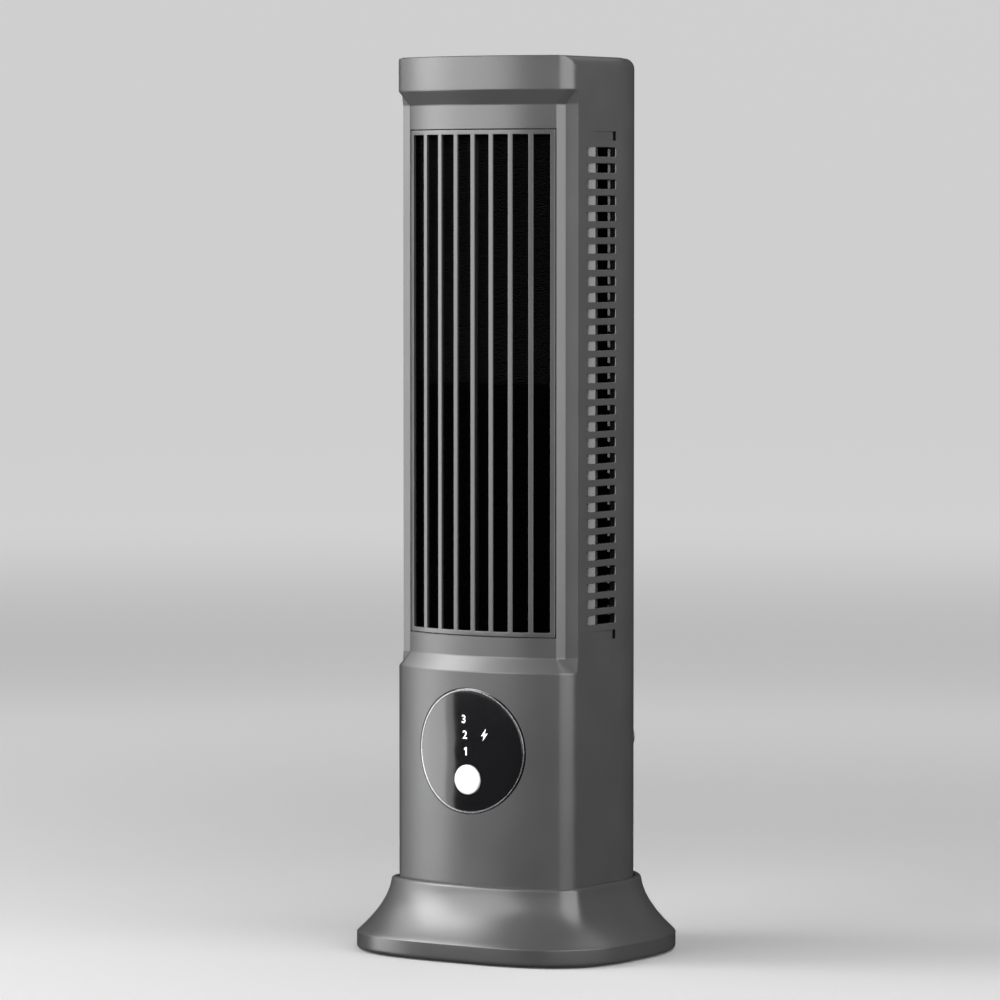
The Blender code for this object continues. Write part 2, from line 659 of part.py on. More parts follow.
def make_motor():
    """A small can motor under the floor plate: can, end cap, rotor and two flange screws."""
    centre = (0.0, SPIN_Y)
    top = FLOOR_Z - FIT
    bore = SHAFT_R + FIT
    skin = MOTOR_SKIN
    bm = bmesh.new()
    add_turned(bm, (
        (MOTOR_R, MOTOR_Z0 + 2 * MM), (MOTOR_R, top), (bore, top), (bore, top - skin),
        (MOTOR_R - skin, top - skin), (MOTOR_R - skin, MOTOR_Z0 + 2 * MM),
    ), centre)
    can = add_object("motor_can", bm, STEEL_MAT)
    bm = bmesh.new()
    for side in (1, -1):
        add_prism(bm, circle(side * MOTOR_SCREW_X, SPIN_Y, SCREW_R + FIT, 8), top - 2 * MM, top + MM)
    boolean(can, cutter("cut_can", bm), "DIFFERENCE")
    cap_top = MOTOR_Z0 + MOTOR_CAP_THICK
    bm = bmesh.new()
    add_turned(bm, (
        (bore, MOTOR_Z0), (MOTOR_R, MOTOR_Z0), (MOTOR_R, cap_top), (bore, cap_top),
    ), centre)
    add_object("motor_cap", bm, NYLON_MAT)
    bm = bmesh.new()
    rotor_r = MOTOR_R - skin - ROTOR_GAP
    add_turned(bm, (
        (SHAFT_R, MOTOR_Z0 + ROTOR_LOW), (rotor_r, MOTOR_Z0 + ROTOR_LOW),
        (rotor_r, top - ROTOR_TOP), (SHAFT_R, top - ROTOR_TOP),
    ), centre)
    shaft_top = IMPELLER_Z0 + 4.5 * MM
    rotor = add_object("rotor", bm, COPPER_MAT, (0.0, SPIN_Y, MOTOR_Z0))
    bm = bmesh.new()
    add_prism(bm, circle(0, SPIN_Y, SHAFT_R + 0.02 * MM), MOTOR_Z0 - SHAFT_TAIL, shaft_top)
    boolean(rotor, cutter("join_shaft", bm), "UNION")
    plate_top = FLOOR_Z + FLOOR_THICK
    for i, side in enumerate((1, -1)):
        seat = (side * MOTOR_SCREW_X, SPIN_Y, plate_top - 0.9 * MM)
        make_screw("motor_screw_%d" % (i + 1), seat, FLOOR_THICK + 0.6 * MM, -1)
    bm = bmesh.new()
    for side in (1, -1):
        well = circle(side * MOTOR_SCREW_X, SPIN_Y, HEAD_R + FIT, 12)
        add_prism(bm, well, plate_top - 1.2 * MM, plate_top + MM)
    boolean(bpy.data.objects["duct_floor"], cutter("cut_heads", bm), "DIFFERENCE")


def blade_outline(turn):
    """One curved blade in plan: a thin arc between two radii, leaning with the spin."""
    outer, inner = [], []
    for i in range(3):
        t = i / 2
        radius = IMPELLER_R - BLADE_INSET - BLADE_WIDTH * t
        swing = turn + BLADE_CURVE * t * t + BLADE_LEAN * t
        half = BLADE_HALF / radius
        outer.append((radius, swing + half))
        inner.append((radius, swing - half))
    return [(r * math.cos(a), SPIN_Y + r * math.sin(a)) for r, a in outer + list(reversed(inner))]


def make_impeller():
    """The cross-flow impeller: three discs joined by a ring of curved blades."""
    bm = bmesh.new()
    centre = (0.0, SPIN_Y)
    spans = (
        (IMPELLER_Z0, HUB_BORE_R), (IMPELLER_MID_Z, DISC_MID_BORE_R),
        (IMPELLER_Z1 - DISC_THICK, SHAFT_R + 0.05 * MM),
    )
    for z, bore in spans:
        add_turned(bm, (
            (bore, z), (IMPELLER_R, z), (IMPELLER_R, z + DISC_THICK), (bore, z + DISC_THICK)
        ), centre, 24)
    impeller = add_object("impeller", bm, BLACK_MAT, (0.0, SPIN_Y, IMPELLER_MID_Z))
    bm = bmesh.new()
    for i in range(BLADE_COUNT):
        outline = blade_outline(2 * math.pi * i / BLADE_COUNT)
        add_prism(bm, outline, IMPELLER_Z0 + BLADE_BITE, IMPELLER_Z1 - BLADE_BITE)
    boolean(impeller, cutter("join_blades", bm), "UNION")
    bm = bmesh.new()
    add_turned(bm, (
        (SHAFT_R + 0.1 * MM, IMPELLER_Z0 - 0.6 * MM), (HUB_BORE_R - FIT, IMPELLER_Z0 - 0.6 * MM),
        (HUB_BORE_R - FIT, IMPELLER_Z0 + HUB_DEPTH), (SHAFT_R + 0.1 * MM, IMPELLER_Z0 + HUB_DEPTH),
    ), centre)
    add_object("hub_bush", bm, RUBBER_MAT, (0.0, SPIN_Y, IMPELLER_Z0))
    bm = bmesh.new()
    add_prism(bm, circle(0, SPIN_Y, SHAFT_R - FIT, 12), IMPELLER_Z1 - PIN_BITE, CEILING_Z + CEILING_THICK - MM)
    add_object("top_pin", bm, STEEL_MAT, (0.0, SPIN_Y, IMPELLER_Z1))
    bm = bmesh.new()
    add_turned(bm, (
        (SHAFT_R, CEILING_Z + 0.4 * MM), (BUSH_R - FIT / 2, CEILING_Z + 0.4 * MM),
        (BUSH_R - FIT / 2, CEILING_Z + CEILING_THICK + MM), (SHAFT_R, CEILING_Z + CEILING_THICK + MM),
    ), centre)
    add_object("top_bearing", bm, RUBBER_MAT)


# ---------------------------------------------------------------- control panel
def add_curved_disc(bm, profile, sides, set_in=0.0):
    """Rings of (radius, depth) about the panel's middle, each following the curved front."""
    rings = []
    for radius, depth in profile:
        ring = []
        for i in range(sides):
            t = 2 * math.pi * i / sides
            x = radius * math.cos(t)
            ring.append(bm.verts.new((x, front_arc_y(x) + depth + set_in, PANEL_Z + radius * math.sin(t))))
        rings.append(ring)
    return rings


def join_rings(bm, rings, closed):
    pairs = list(zip(rings, rings[1:]))
    if closed:
        pairs.append((rings[-1], rings[0]))
    for a, b in pairs:
        for i in range(len(a)):
            j = (i + 1) % len(a)
            bm.faces.new((a[i], a[j], b[j], b[i]))


def make_panel():
    """A glossy round lens in a thin bright ring, bent to the curve of the front."""
    sides = 32
    bm = bmesh.new()
    seat_r = BEZEL_R - BEZEL_WIDTH
    step = LENS_THICK + FIT
    rings = add_curved_disc(bm, (
        (seat_r, 0.0), (BEZEL_R, 0.0), (BEZEL_R, BEZEL_DEPTH), (seat_r - BEZEL_LIP, BEZEL_DEPTH),
        (seat_r - BEZEL_LIP, step), (seat_r, step),
    ), sides, -PANEL_PROUD)
    join_rings(bm, rings, True)
    add_object("panel_ring", bm, CHROME_MAT)

    bm = bmesh.new()
    lens_r = seat_r - SNUG
    face = [(radius, 0.0) for radius in (6 * MM, 13 * MM, lens_r)]
    back = [(radius, LENS_THICK) for radius, _ in reversed(face)]
    rings = add_curved_disc(bm, face + back, sides, -PANEL_PROUD)
    join_rings(bm, rings, False)
    for ring, depth in ((rings[0], 0.0), (rings[-1], LENS_THICK)):
        middle = bm.verts.new((0.0, FRONT_Y + depth - PANEL_PROUD, PANEL_Z))
        for i in range(sides):
            bm.faces.new((ring[i], ring[(i + 1) % sides], middle))
    lens = add_object("panel_lens", bm, LENS_MAT)
    bm = bmesh.new()
    hole = add_prism(bm, circle(0, 0, BUTTON_R + FIT, 24), -8 * MM, 8 * MM)
    lay_along_y(hole, Vector((0, FRONT_Y, BUTTON_Z)))
    boolean(lens, cutter("cut_lens", bm), "DIFFERENCE")


def make_button():
    """The round power button: a shallow cap with a guide skirt, its origin on the line it moves along."""
    bm = bmesh.new()
    front = FRONT_Y - BUTTON_PROUD
    profile = ((BUTTON_R - 0.5 * MM, 0.0), (BUTTON_R, 0.5 * MM), (BUTTON_R, BUTTON_DEPTH))
    rings = []
    for radius, depth in profile:
        rings.append([bm.verts.new((x, front + depth, BUTTON_Z + z)) for x, z in circle(0, 0, radius, 24)])
    join_rings(bm, rings, False)
    bm.faces.new(rings[0])
    bm.faces.new(rings[-1])
    add_object("power_button", bm, BUTTON_MAT, (0.0, front, BUTTON_Z))


def box_object(name, low, high, mat):
    bm = bmesh.new()
    add_box(bm, low, high)
    return add_object(name, bm, mat)


def make_board():
    """The control board behind the lens, with its switch, lamps and the light guides in front."""
    face = BOARD_Y
    rear = BOARD_Y + BOARD_THICK
    corners = ((-BOARD_HALF_X, face, BOARD_Z0), (BOARD_HALF_X, rear, BOARD_Z1))
    board = box_object("control_board", *corners, BOARD_MAT)
    bm = bmesh.new()
    for side in (1, -1):
        hole = add_prism(bm, circle(0, 0, SCREW_R + FIT, 8), -2 * MM, 4 * MM)
        lay_along_y(hole, Vector((side * BOARD_SCREW_X, face, PANEL_Z)))
    boolean(board, cutter("cut_board", bm), "DIFFERENCE")
    for i, side in enumerate((1, -1)):
        spot = (side * BOARD_SCREW_X, rear + FIT, PANEL_Z)
        make_screw("board_screw_%d" % (i + 1), spot, BOARD_THICK + 2 * FIT + BOARD_SCREW_BITE, 0)
    half = SWITCH_HALF
    switch_front = FRONT_Y - BUTTON_PROUD + BUTTON_DEPTH + BUTTON_TRAVEL + FIT
    corners = ((-half, switch_front, BUTTON_Z - half), (half, face - FIT, BUTTON_Z + half))
    box_object("push_switch", *corners, BLACK_MAT)
    for name, x, z in zip(MARK_NAMES, MARK_X, MARK_Z):
        lamp_front = face - FIT - LAMP_THICK
        lamp_low = (x - LAMP_HALF_W, lamp_front, z - LAMP_HALF_H)
        box_object("lamp_" + name, lamp_low, (x + LAMP_HALF_W, face - FIT, z + LAMP_HALF_H), LAMP_MAT)
        guide_front = front_arc_y(x) + BEZEL_DEPTH - MM
        low = (x - GUIDE_HALF_W, guide_front, z - GUIDE_HALF_H)
        box_object("guide_" + name, low, (x + GUIDE_HALF_W, lamp_front - FIT, z + GUIDE_HALF_H), GUIDE_MAT)


# ---------------------------------------------------------------- battery and port
def make_battery():
    """Two upright round cells in a shared cradle on the chassis."""
    bm = bmesh.new()
    outer = CELL_R + FIT + CRADLE_WALL
    outline = [(x, CELL_Y + y) for x, y in stadium(CELL_X + outer, outer)]
    add_prism(bm, outline, CRADLE_Z, CRADLE_Z + CRADLE_HEIGHT)
    cradle = add_object("battery_cradle", bm, NYLON_MAT)
    bm = bmesh.new()
    for side in (1, -1):
        x = side * CELL_X
        add_prism(bm, circle(x, CELL_Y, CELL_R + FIT), CRADLE_Z + CRADLE_WALL, CRADLE_Z + CRADLE_HEIGHT + MM)
    boolean(cradle, cutter("cut_cradle", bm), "DIFFERENCE")
    foot = CRADLE_Z + CRADLE_WALL + FIT
    for i, side in enumerate((1, -1)):
        bm = bmesh.new()
        add_turned_solid(bm, (
            (CELL_R - 0.6 * MM, foot), (CELL_R, foot + 0.6 * MM),
            (CELL_R, foot + CELL_LENGTH - MM), (CELL_R - MM, foot + CELL_LENGTH),
        ), (side * CELL_X, CELL_Y))
        add_object("battery_cell_%d" % (i + 1), bm, CELL_MAT)


def add_turned_solid(bm, profile, centre, sides=ROUND):
    """A solid turned about a vertical axis from an open (radius, height) profile, capped flat."""
    rings = [[bm.verts.new((x, y, z)) for x, y in circle(*centre, r, sides)] for r, z in profile]
    join_rings(bm, rings, False)
    bm.faces.new(rings[0])
    bm.faces.new(rings[-1])


def place_at_port(verts):
    """Moves a piece built along +Z, width along X, to the charging inlet on the right rear corner."""
    angle = math.radians(PORT_ANGLE)
    out = Vector((math.cos(angle), math.sin(angle), 0.0))
    wide = Vector((-math.sin(angle), math.cos(angle), 0.0))
    hub = Vector((HALF_WIDTH - REAR_R, REAR_Y - REAR_R, PORT_Z))
    for v in verts:
        v.co = hub + wide * v.co.x + Vector((0.0, 0.0, v.co.y)) + out * v.co.z


def make_port():
    """The charging inlet: a raised surround, the metal socket and its small board."""
    bm = bmesh.new()
    surround = add_prism(bm, stadium(PORT_HALF_W, PORT_HALF_H), REAR_R - WALL - PORT_TAIL, REAR_R + PORT_PROUD)
    place_at_port(surround)
    piece = add_object("port_surround", bm, BODY_MAT)
    bm = bmesh.new()
    mouth = stadium(SOCKET_HALF_W + FIT, SOCKET_HALF_H + FIT)
    place_at_port(add_prism(bm, mouth, REAR_R - 6 * MM, REAR_R + 4 * MM))
    boolean(piece, cutter("cut_surround", bm), "DIFFERENCE")

    bm = bmesh.new()
    sleeve = stadium(SOCKET_HALF_W, SOCKET_HALF_H)
    place_at_port(add_prism(bm, sleeve, REAR_R - SOCKET_DEPTH, REAR_R + SOCKET_PROUD))
    socket = add_object("charge_socket", bm, STEEL_MAT)
    bm = bmesh.new()
    hollow = stadium(SOCKET_HALF_W - SOCKET_WALL, SOCKET_HALF_H - SOCKET_WALL)
    place_at_port(add_prism(bm, hollow, REAR_R - SOCKET_DEPTH + MM, REAR_R + 4 * MM))
    boolean(socket, cutter("cut_socket", bm), "DIFFERENCE")

    bm = bmesh.new()
    back = REAR_R - SOCKET_DEPTH - FIT
    place_at_port(add_box(bm, (-7 * MM, -5 * MM, back - PORT_BOARD_THICK), (7 * MM, 5 * MM, back)))
    add_object("port_board", bm, BOARD_MAT)


def add_lead(bm, points, radius, sides=8):
    """A round wire along a line of points."""
    rings = []
    for i, point in enumerate(points):
        ahead = Vector(points[min(i + 1, len(points) - 1)]) - Vector(points[max(i - 1, 0)])
        ahead.normalize()
        across = ahead.cross(Vector((0.31, 0.17, 0.93))).normalized()
        up = ahead.cross(across)
        ring = []
        for k in range(sides):
            t = 2 * math.pi * k / sides
            ring.append(bm.verts.new(Vector(point) + (across * math.cos(t) + up * math.sin(t)) * radius))
        rings.append(ring)
    join_rings(bm, rings, False)
    bm.faces.new(rings[0])
    bm.faces.new(rings[-1])


def make_leads():
    """Wires from the board to the motor and to the battery."""
    start = BOARD_Y + BOARD_THICK + LEAD_R - FIT
    low = BOARD_Z1 - 4 * MM
    end_z = MOTOR_Z0 - LEAD_R
    top = CRADLE_Z + CRADLE_WALL + FIT + CELL_LENGTH + LEAD_R
    side = CELL_X - 7.3 * MM
    routes = {
        "motor_lead": (
            (9 * MM, start, low), (9 * MM, start + 3.4 * MM, low), (8 * MM, start + 9.4 * MM, low - 2 * MM),
            (7 * MM, SPIN_Y - 12.7 * MM, end_z - 0.7 * MM), (6 * MM, SPIN_Y - 6.7 * MM, end_z - 1.4 * MM),
            (5 * MM, SPIN_Y - 4.2 * MM, end_z),
        ),
        "battery_lead": (
            (-side, start, low), (-side, start + 4.4 * MM, low + MM),
            (-side - 1.5 * MM, CELL_Y - 17.7 * MM, top - 1.7 * MM),
            (-side - 4 * MM, CELL_Y - 9.7 * MM, top + 1.8 * MM),
            (-side - 6 * MM, CELL_Y - 3.7 * MM, top + 1.9 * MM),
            (-CELL_X, CELL_Y - 0.7 * MM, top - 0.2 * MM),
        ),
    }
    for name, route in routes.items():
        bm = bmesh.new()
        add_lead(bm, route, LEAD_R)
        add_object(name, bm, WIRE_MAT)


# ---------------------------------------------------------------- foot
def polar_radius(loop, angle):
    """Distance from the foot's middle to a closed loop along a direction."""
    ray = Vector((math.cos(angle), math.sin(angle)))
    best = 0.0
    for i in range(len(loop)):
        a = Vector(loop[i - 1])
        edge = Vector(loop[i]) - a
        cross = ray.x * edge.y - ray.y * edge.x
        if abs(cross) < 1e-12:
            continue
        reach = (a.x * edge.y - a.y * edge.x) / cross
        along = (a.x * ray.y - a.y * ray.x) / cross
        if -1e-6 <= along <= 1 + 1e-6:
            best = max(best, reach)
    return best


def rim_radius(angle):
    """Distance to the widest line of the foot: a soft square, rounder at the back."""
    low, high = 0.0, 2 * FOOT_HALF_X
    for _ in range(40):
        mid = (low + high) / 2
        x, y = mid * math.cos(angle), mid * math.sin(angle) - FOOT_MID_Y
        power = FOOT_POWER_FRONT if y < 0 else FOOT_POWER_REAR
        half_y = FOOT_HALF_Y + FOOT_MID_Y if y < 0 else FOOT_HALF_Y - FOOT_MID_Y
        inside = abs(x / FOOT_HALF_X) ** power + abs(y / half_y) ** power < 1
        low, high = (mid, high) if inside else (low, mid)
    return low


def foot_angles():
    """Directions of the column's own corners, with more between where they lie far apart."""
    least, most = math.radians(1.5), math.radians(13)
    angles = []
    for angle in sorted(math.atan2(y, x) for x, y in plan()):
        if not angles or angle - angles[-1] > least:
            angles.append(angle)
    result = []
    for i, angle in enumerate(angles):
        gap = (angles[(i + 1) % len(angles)] - angle) % (2 * math.pi)
        parts = math.ceil(gap / most)
        result += [angle + gap * k / parts for k in range(parts)]
    return result


FOOT_ANGLES = foot_angles()
COLUMN_RADII = [polar_radius(plan(), a) for a in FOOT_ANGLES]
RIM_RADII = [rim_radius(a) for a in FOOT_ANGLES]


def foot_loop(spread, grow):
    """A plan between the collar (spread 0) and the rim (spread 1), grown by a distance."""
    loop = []
    for angle, column, rim in zip(FOOT_ANGLES, COLUMN_RADII, RIM_RADII):
        collar = column + COLLAR_OUT
        r = collar + spread * (rim - collar) + grow
        loop.append((r * math.cos(angle), r * math.sin(angle)))
    return loop


def flare(z):
    """How far the foot has spread out at a height, from 0 at the collar to 1 at the rim."""
    return ((COLLAR_Z - z) / (COLLAR_Z - RIM_Z1)) ** FLARE_POWER


def foot_profile():
    """The foot's wall as (spread, growth, height) points, up the outside and down the inside."""
    outside = [(0.7, 0.0, RIM_Z0), (0.965, 0.0, RIM_Z0), (1.0, 0.0, RIM_Z0 + RIM_EASE)]
    steps = 6
    for i in range(steps + 1):
        z = RIM_Z1 + (COLLAR_Z - RIM_Z1) * i / steps
        outside.append((flare(z), 0.0, z))
    deck_low = DECK_TOP - DECK_THICK
    inner = FIT + SNUG - COLLAR_OUT
    inside = [(0.0, inner, COLLAR_Z), (0.0, inner, DECK_TOP), (0.0, -COLLAR_OUT - DECK_WIDTH, DECK_TOP),
              (0.0, -COLLAR_OUT - DECK_WIDTH, deck_low), (flare(deck_low), -FOOT_WALL, deck_low)]
    for i in (3, 2, 1):
        z = RIM_Z1 - MM + (deck_low - RIM_Z1) * i / 4
        inside.append((flare(z + MM), -FOOT_WALL, z))
    inside += [(1.0, -FOOT_WALL, RIM_Z1 - 1.4 * MM), (1.0, -FOOT_WALL, RIM_Z0 + 2.4 * MM)]
    inside.append((PLATE_SPREAD, -FOOT_WALL, RIM_Z0))
    return outside + inside


def both(spots):
    return [(side * x, y) for x, y in spots for side in (1, -1)]


def make_foot():
    """The flared foot with a deck under the column, a closing plate, ballast, pads and screws."""
    bm = bmesh.new()
    rings = []
    for spread, grow, z in foot_profile():
        rings.append([bm.verts.new((x, y, z)) for x, y in foot_loop(spread, grow)])
    join_rings(bm, rings, True)
    skirt = add_object("foot_shell", bm, BODY_MAT)
    deck_low = DECK_TOP - DECK_THICK
    plate_top = PLATE_Z + PLATE_THICK
    bm = bmesh.new()
    for x, y in both(BASE_SCREWS):
        add_prism(bm, circle(x, y, BOSS_R, 12), plate_top + FIT, deck_low + MM)
    boolean(skirt, cutter("join_posts", bm), "UNION")
    bm = bmesh.new()
    for x, y in both(BASE_SCREWS):
        add_prism(bm, circle(x, y, SCREW_HOLE_R, 10), PLATE_Z, deck_low - MM)
    for x, y in both(BODY_SCREWS):
        add_prism(bm, circle(x, y, SCREW_HOLE_R, 10), deck_low - MM, DECK_TOP + MM)
    boolean(skirt, cutter("cut_deck", bm), "DIFFERENCE")

    bm = bmesh.new()
    add_prism(bm, foot_loop(PLATE_SPREAD, -FOOT_WALL - FIT), PLATE_Z, plate_top)
    plate = add_object("foot_plate", bm, BASE_PLATE_MAT)
    bm = bmesh.new()
    for x, y in both(BASE_SCREWS):
        add_prism(bm, circle(x, y, SCREW_HOLE_R, 10), 0.0, plate_top + MM)
        add_prism(bm, circle(x, y, HEAD_R + FIT, 12), 0.0, PLATE_Z + HEAD_THICK + 0.4 * MM)
    for x, y in both(PAD_SPOTS):
        add_prism(bm, circle(x, y, PAD_R + FIT / 2), 0.0, PAD_THICK + FIT)
    boolean(plate, cutter("cut_plate", bm), "DIFFERENCE", True)

    for i, (x, y) in enumerate(both(PAD_SPOTS)):
        bm = bmesh.new()
        add_turned_solid(bm, ((PAD_R - 0.5 * MM, 0.0), (PAD_R, 0.4 * MM), (PAD_R, PAD_THICK)), (x, y), 16)
        add_object("foot_pad_%d" % (i + 1), bm, RUBBER_MAT)
    for i, (x, y) in enumerate(both(BASE_SCREWS)):
        make_screw("foot_screw_%d" % (i + 1), (x, y, PLATE_Z + HEAD_THICK + 0.1 * MM), 9 * MM, 1)
    for i, (x, y) in enumerate(both(BODY_SCREWS)):
        make_screw("column_screw_%d" % (i + 1), (x, y, deck_low - FIT), 11 * MM, 1)
    bm = bmesh.new()
    half_x, half_y, thick = BALLAST[0] / 2, BALLAST[1] / 2, BALLAST[2]
    add_box(bm, (-half_x, -half_y, plate_top + FIT), (half_x, half_y, plate_top + FIT + thick))
    edges = [e for e in bm.edges if abs(e.verts[0].co.z - e.verts[1].co.z) > MM]
    bmesh.ops.bevel(bm, geom=edges, offset=4 * MM, segments=3, affect="EDGES")
    add_object("ballast", bm, STEEL_MAT)


def make_chassis():
    """The plate that closes the column below and carries the battery cradle."""
    bm = bmesh.new()
    outline = offset_loop(PLAIN_INNER, FIT)
    low = HOUSING_Z + FIT
    add_prism(bm, outline, low, low + CHASSIS_THICK)
    tidy(bm)
    plate = add_object("chassis_plate", bm, NYLON_MAT)
    bm = bmesh.new()
    for x, y in both(BODY_SCREWS):
        add_prism(bm, circle(x, y, SCREW_HOLE_R, 10), low - MM, low + CHASSIS_THICK + MM)
    boolean(plate, cutter("cut_chassis", bm), "DIFFERENCE")


# ---------------------------------------------------------------- screws
def make_screw(name, seat, length, up):
    """A pan-head screw. up 1: shank rises from the seat, -1: it hangs down, 0: it runs to the front."""
    bm = bmesh.new()
    add_turned_solid(bm, (
        (HEAD_R, -HEAD_THICK), (HEAD_R, 0.0), (SCREW_R, 0.0),
        (SCREW_R, length - 0.6 * MM), (0.6 * SCREW_R, length),
    ), (0.0, 0.0), 12)
    if up == 0:
        lay_along_y(bm.verts, Vector(seat), -1.0)
    else:
        for v in bm.verts:
            v.co = Vector(seat) + Vector((v.co.x, v.co.y, v.co.z * up))
    return add_object(name, bm, SCREW_MAT)


def make_cover_screws():
    for i, (x, z) in enumerate(cover_screw_spots()):
        make_screw("cover_screw_%d" % (i + 1), (x, rear_surface_y(x) - 0.6 * MM, z), 8 * MM, 0)


clear_scene()
BODY_MAT = material("graphite_abs", (0.085, 0.085, 0.088), 0.42)
COVER_MAT = material("graphite_abs_rear", (0.08, 0.08, 0.083), 0.45)
GRILLE_MAT = material("graphite_abs_grille", (0.085, 0.085, 0.088), 0.4)
DUCT_MAT = material("duct_abs", (0.03, 0.03, 0.031), 0.55)
BLACK_MAT = material("black_abs", (0.012, 0.012, 0.012), 0.5)
NYLON_MAT = material("black_nylon", (0.025, 0.025, 0.025), 0.6)
LENS_MAT = material("gloss_black_lens", (0.006, 0.006, 0.007), 0.06)
CHROME_MAT = material("bright_ring", (0.62, 0.63, 0.64), 0.18, 1.0)
BUTTON_MAT = material("white_button", (0.86, 0.86, 0.85), 0.3)
STEEL_MAT = material("plated_steel", (0.5, 0.5, 0.5), 0.35, 1.0)
SCREW_MAT = material("dark_screw_steel", (0.16, 0.16, 0.17), 0.4, 1.0)
COPPER_MAT = material("rotor_windings", (0.45, 0.2, 0.09), 0.4, 0.6)
RUBBER_MAT = material("black_rubber", (0.02, 0.02, 0.02), 0.8)
BASE_PLATE_MAT = material("plate_abs", (0.04, 0.04, 0.041), 0.55)
BOARD_MAT = material("board_green", (0.02, 0.12, 0.05), 0.4)
LAMP_MAT = material("lamp_white", (0.8, 0.8, 0.75), 0.3)
GUIDE_MAT = material("clear_guide", (0.75, 0.77, 0.78), 0.15)
CELL_MAT = material("cell_sleeve", (0.05, 0.16, 0.4), 0.35)
WIRE_MAT = material("wire_red", (0.45, 0.02, 0.02), 0.45)
CUT_MAT = material("cutting_guide", (1.0, 0.3, 0.3), 0.5)

make_housing()
make_rear_cover()
make_grille()
make_duct_walls()
make_plates()
make_motor()
make_impeller()
make_panel()
make_button()
make_board()
make_battery()
make_port()
make_leads()
make_foot()
make_chassis()
make_cover_screws()
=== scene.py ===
# %% [markdown]
# # A desk tower fan, piece by piece
#
# The fan is a square column with one curved face, standing on a flared foot. A tall cross-flow
# wheel inside draws air through slots in the sides and the back and blows it out of the grille. The
# working model already holds every part at its real size and turns the wheel and the button. This
# lesson dresses it: each part that shows gets a finer mesh and each part gets its own finish. The
# first step loads the working model and notes its box, because nothing may stand outside it.

# %% Load the working model
import math

import bmesh
import bpy
from mathutils import Matrix, Vector


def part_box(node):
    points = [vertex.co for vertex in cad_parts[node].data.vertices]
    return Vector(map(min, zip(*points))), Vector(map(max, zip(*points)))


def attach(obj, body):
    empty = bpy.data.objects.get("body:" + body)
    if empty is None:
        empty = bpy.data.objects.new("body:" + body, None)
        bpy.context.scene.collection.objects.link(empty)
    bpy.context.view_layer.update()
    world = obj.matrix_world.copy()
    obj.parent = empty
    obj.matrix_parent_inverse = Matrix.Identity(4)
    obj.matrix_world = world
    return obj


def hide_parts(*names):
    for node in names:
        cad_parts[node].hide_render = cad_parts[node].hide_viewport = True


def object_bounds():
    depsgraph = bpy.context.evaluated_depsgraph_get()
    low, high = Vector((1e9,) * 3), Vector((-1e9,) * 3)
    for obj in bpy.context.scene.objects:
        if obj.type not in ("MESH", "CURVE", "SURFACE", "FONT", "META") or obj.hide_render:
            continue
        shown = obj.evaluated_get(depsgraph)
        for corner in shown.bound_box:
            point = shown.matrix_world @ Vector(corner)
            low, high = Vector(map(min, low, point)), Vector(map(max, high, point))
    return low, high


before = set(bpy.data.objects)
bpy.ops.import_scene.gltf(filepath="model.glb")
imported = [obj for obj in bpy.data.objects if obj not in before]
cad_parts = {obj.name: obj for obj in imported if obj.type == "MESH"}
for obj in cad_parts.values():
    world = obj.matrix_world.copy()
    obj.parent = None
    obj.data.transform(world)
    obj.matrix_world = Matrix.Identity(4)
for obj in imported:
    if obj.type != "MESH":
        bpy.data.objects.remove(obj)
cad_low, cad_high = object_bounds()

MM = 0.001
COLUMN = "column"
print("box in mm:", [round(side / MM, 1) for side in cad_high - cad_low])

# %% [markdown]
# ## The camera
# A long lens from two metres away keeps the upright edges of a product straight. The camera stands
# a little over a third of a right angle round to the right and looks down by three degrees, so the
# curved front, one side and the shape of the foot all show. A direction and a distance say this
# more plainly than a position would, so the camera is placed from them.

# %% Place the camera
CAMERA_TURN = math.radians(33.49)
CAMERA_TILT = math.radians(2.99)
CAMERA_DISTANCE = 1.845
CAMERA_AIM = Vector((-5.3, -5.3, 151.7)) * MM
LENS_LENGTH = 197.4
SENSOR_WIDTH = 36.0
FAR_LIMIT = 40.0


def towards(turn, tilt):
    """The direction from the fan out to something turned round it from the front and raised."""
    flat = math.cos(tilt)
    return Vector((math.sin(turn) * flat, -math.cos(turn) * flat, math.sin(tilt)))


camera = bpy.data.objects.new("camera", bpy.data.cameras.new("camera"))
camera.data.lens = LENS_LENGTH
camera.data.sensor_width = SENSOR_WIDTH
camera.data.clip_end = FAR_LIMIT
camera.location = CAMERA_AIM + towards(CAMERA_TURN, CAMERA_TILT) * CAMERA_DISTANCE
camera.rotation_euler = (-towards(CAMERA_TURN, CAMERA_TILT)).to_track_quat("-Z", "Y").to_euler()
bpy.context.scene.collection.objects.link(camera)
bpy.context.scene.camera = camera
bpy.context.scene.view_settings.view_transform = "Standard"
print("camera stands at", [round(c, 3) for c in camera.location])

# %% [markdown]
# ## Small tools for nodes
# A finish is a handful of shader nodes. Short helpers keep each recipe readable: they start a
# material, set sockets, add a node, lay noise over the part in real millimetres, spread that noise
# over a range, tint a colour with it and turn it into a bump. The noise reads object coordinates,
# so it moves with its part.

# %% Helpers for finishes
CLOUD_SIZE = 18 * MM
TOOL_MARK = 0.4 * MM


def start_finish(name):
    finish = bpy.data.materials.new(name)
    finish.use_nodes = True
    return finish, finish.node_tree, finish.node_tree.nodes["Principled BSDF"]


def set_sockets(node, values):
    """Puts each value straight on the socket of that name."""
    for name, value in values.items():
        node.inputs[name].default_value = value


def add_node(tree, kind, **values):
    """A node with its sockets or properties set by name; an underscore stands for a space."""
    node = tree.nodes.new(kind)
    for name, value in values.items():
        socket = node.inputs.get(name.replace("_", " ").title())
        if socket is None:
            setattr(node, name, value)
        else:
            socket.default_value = value
    return node


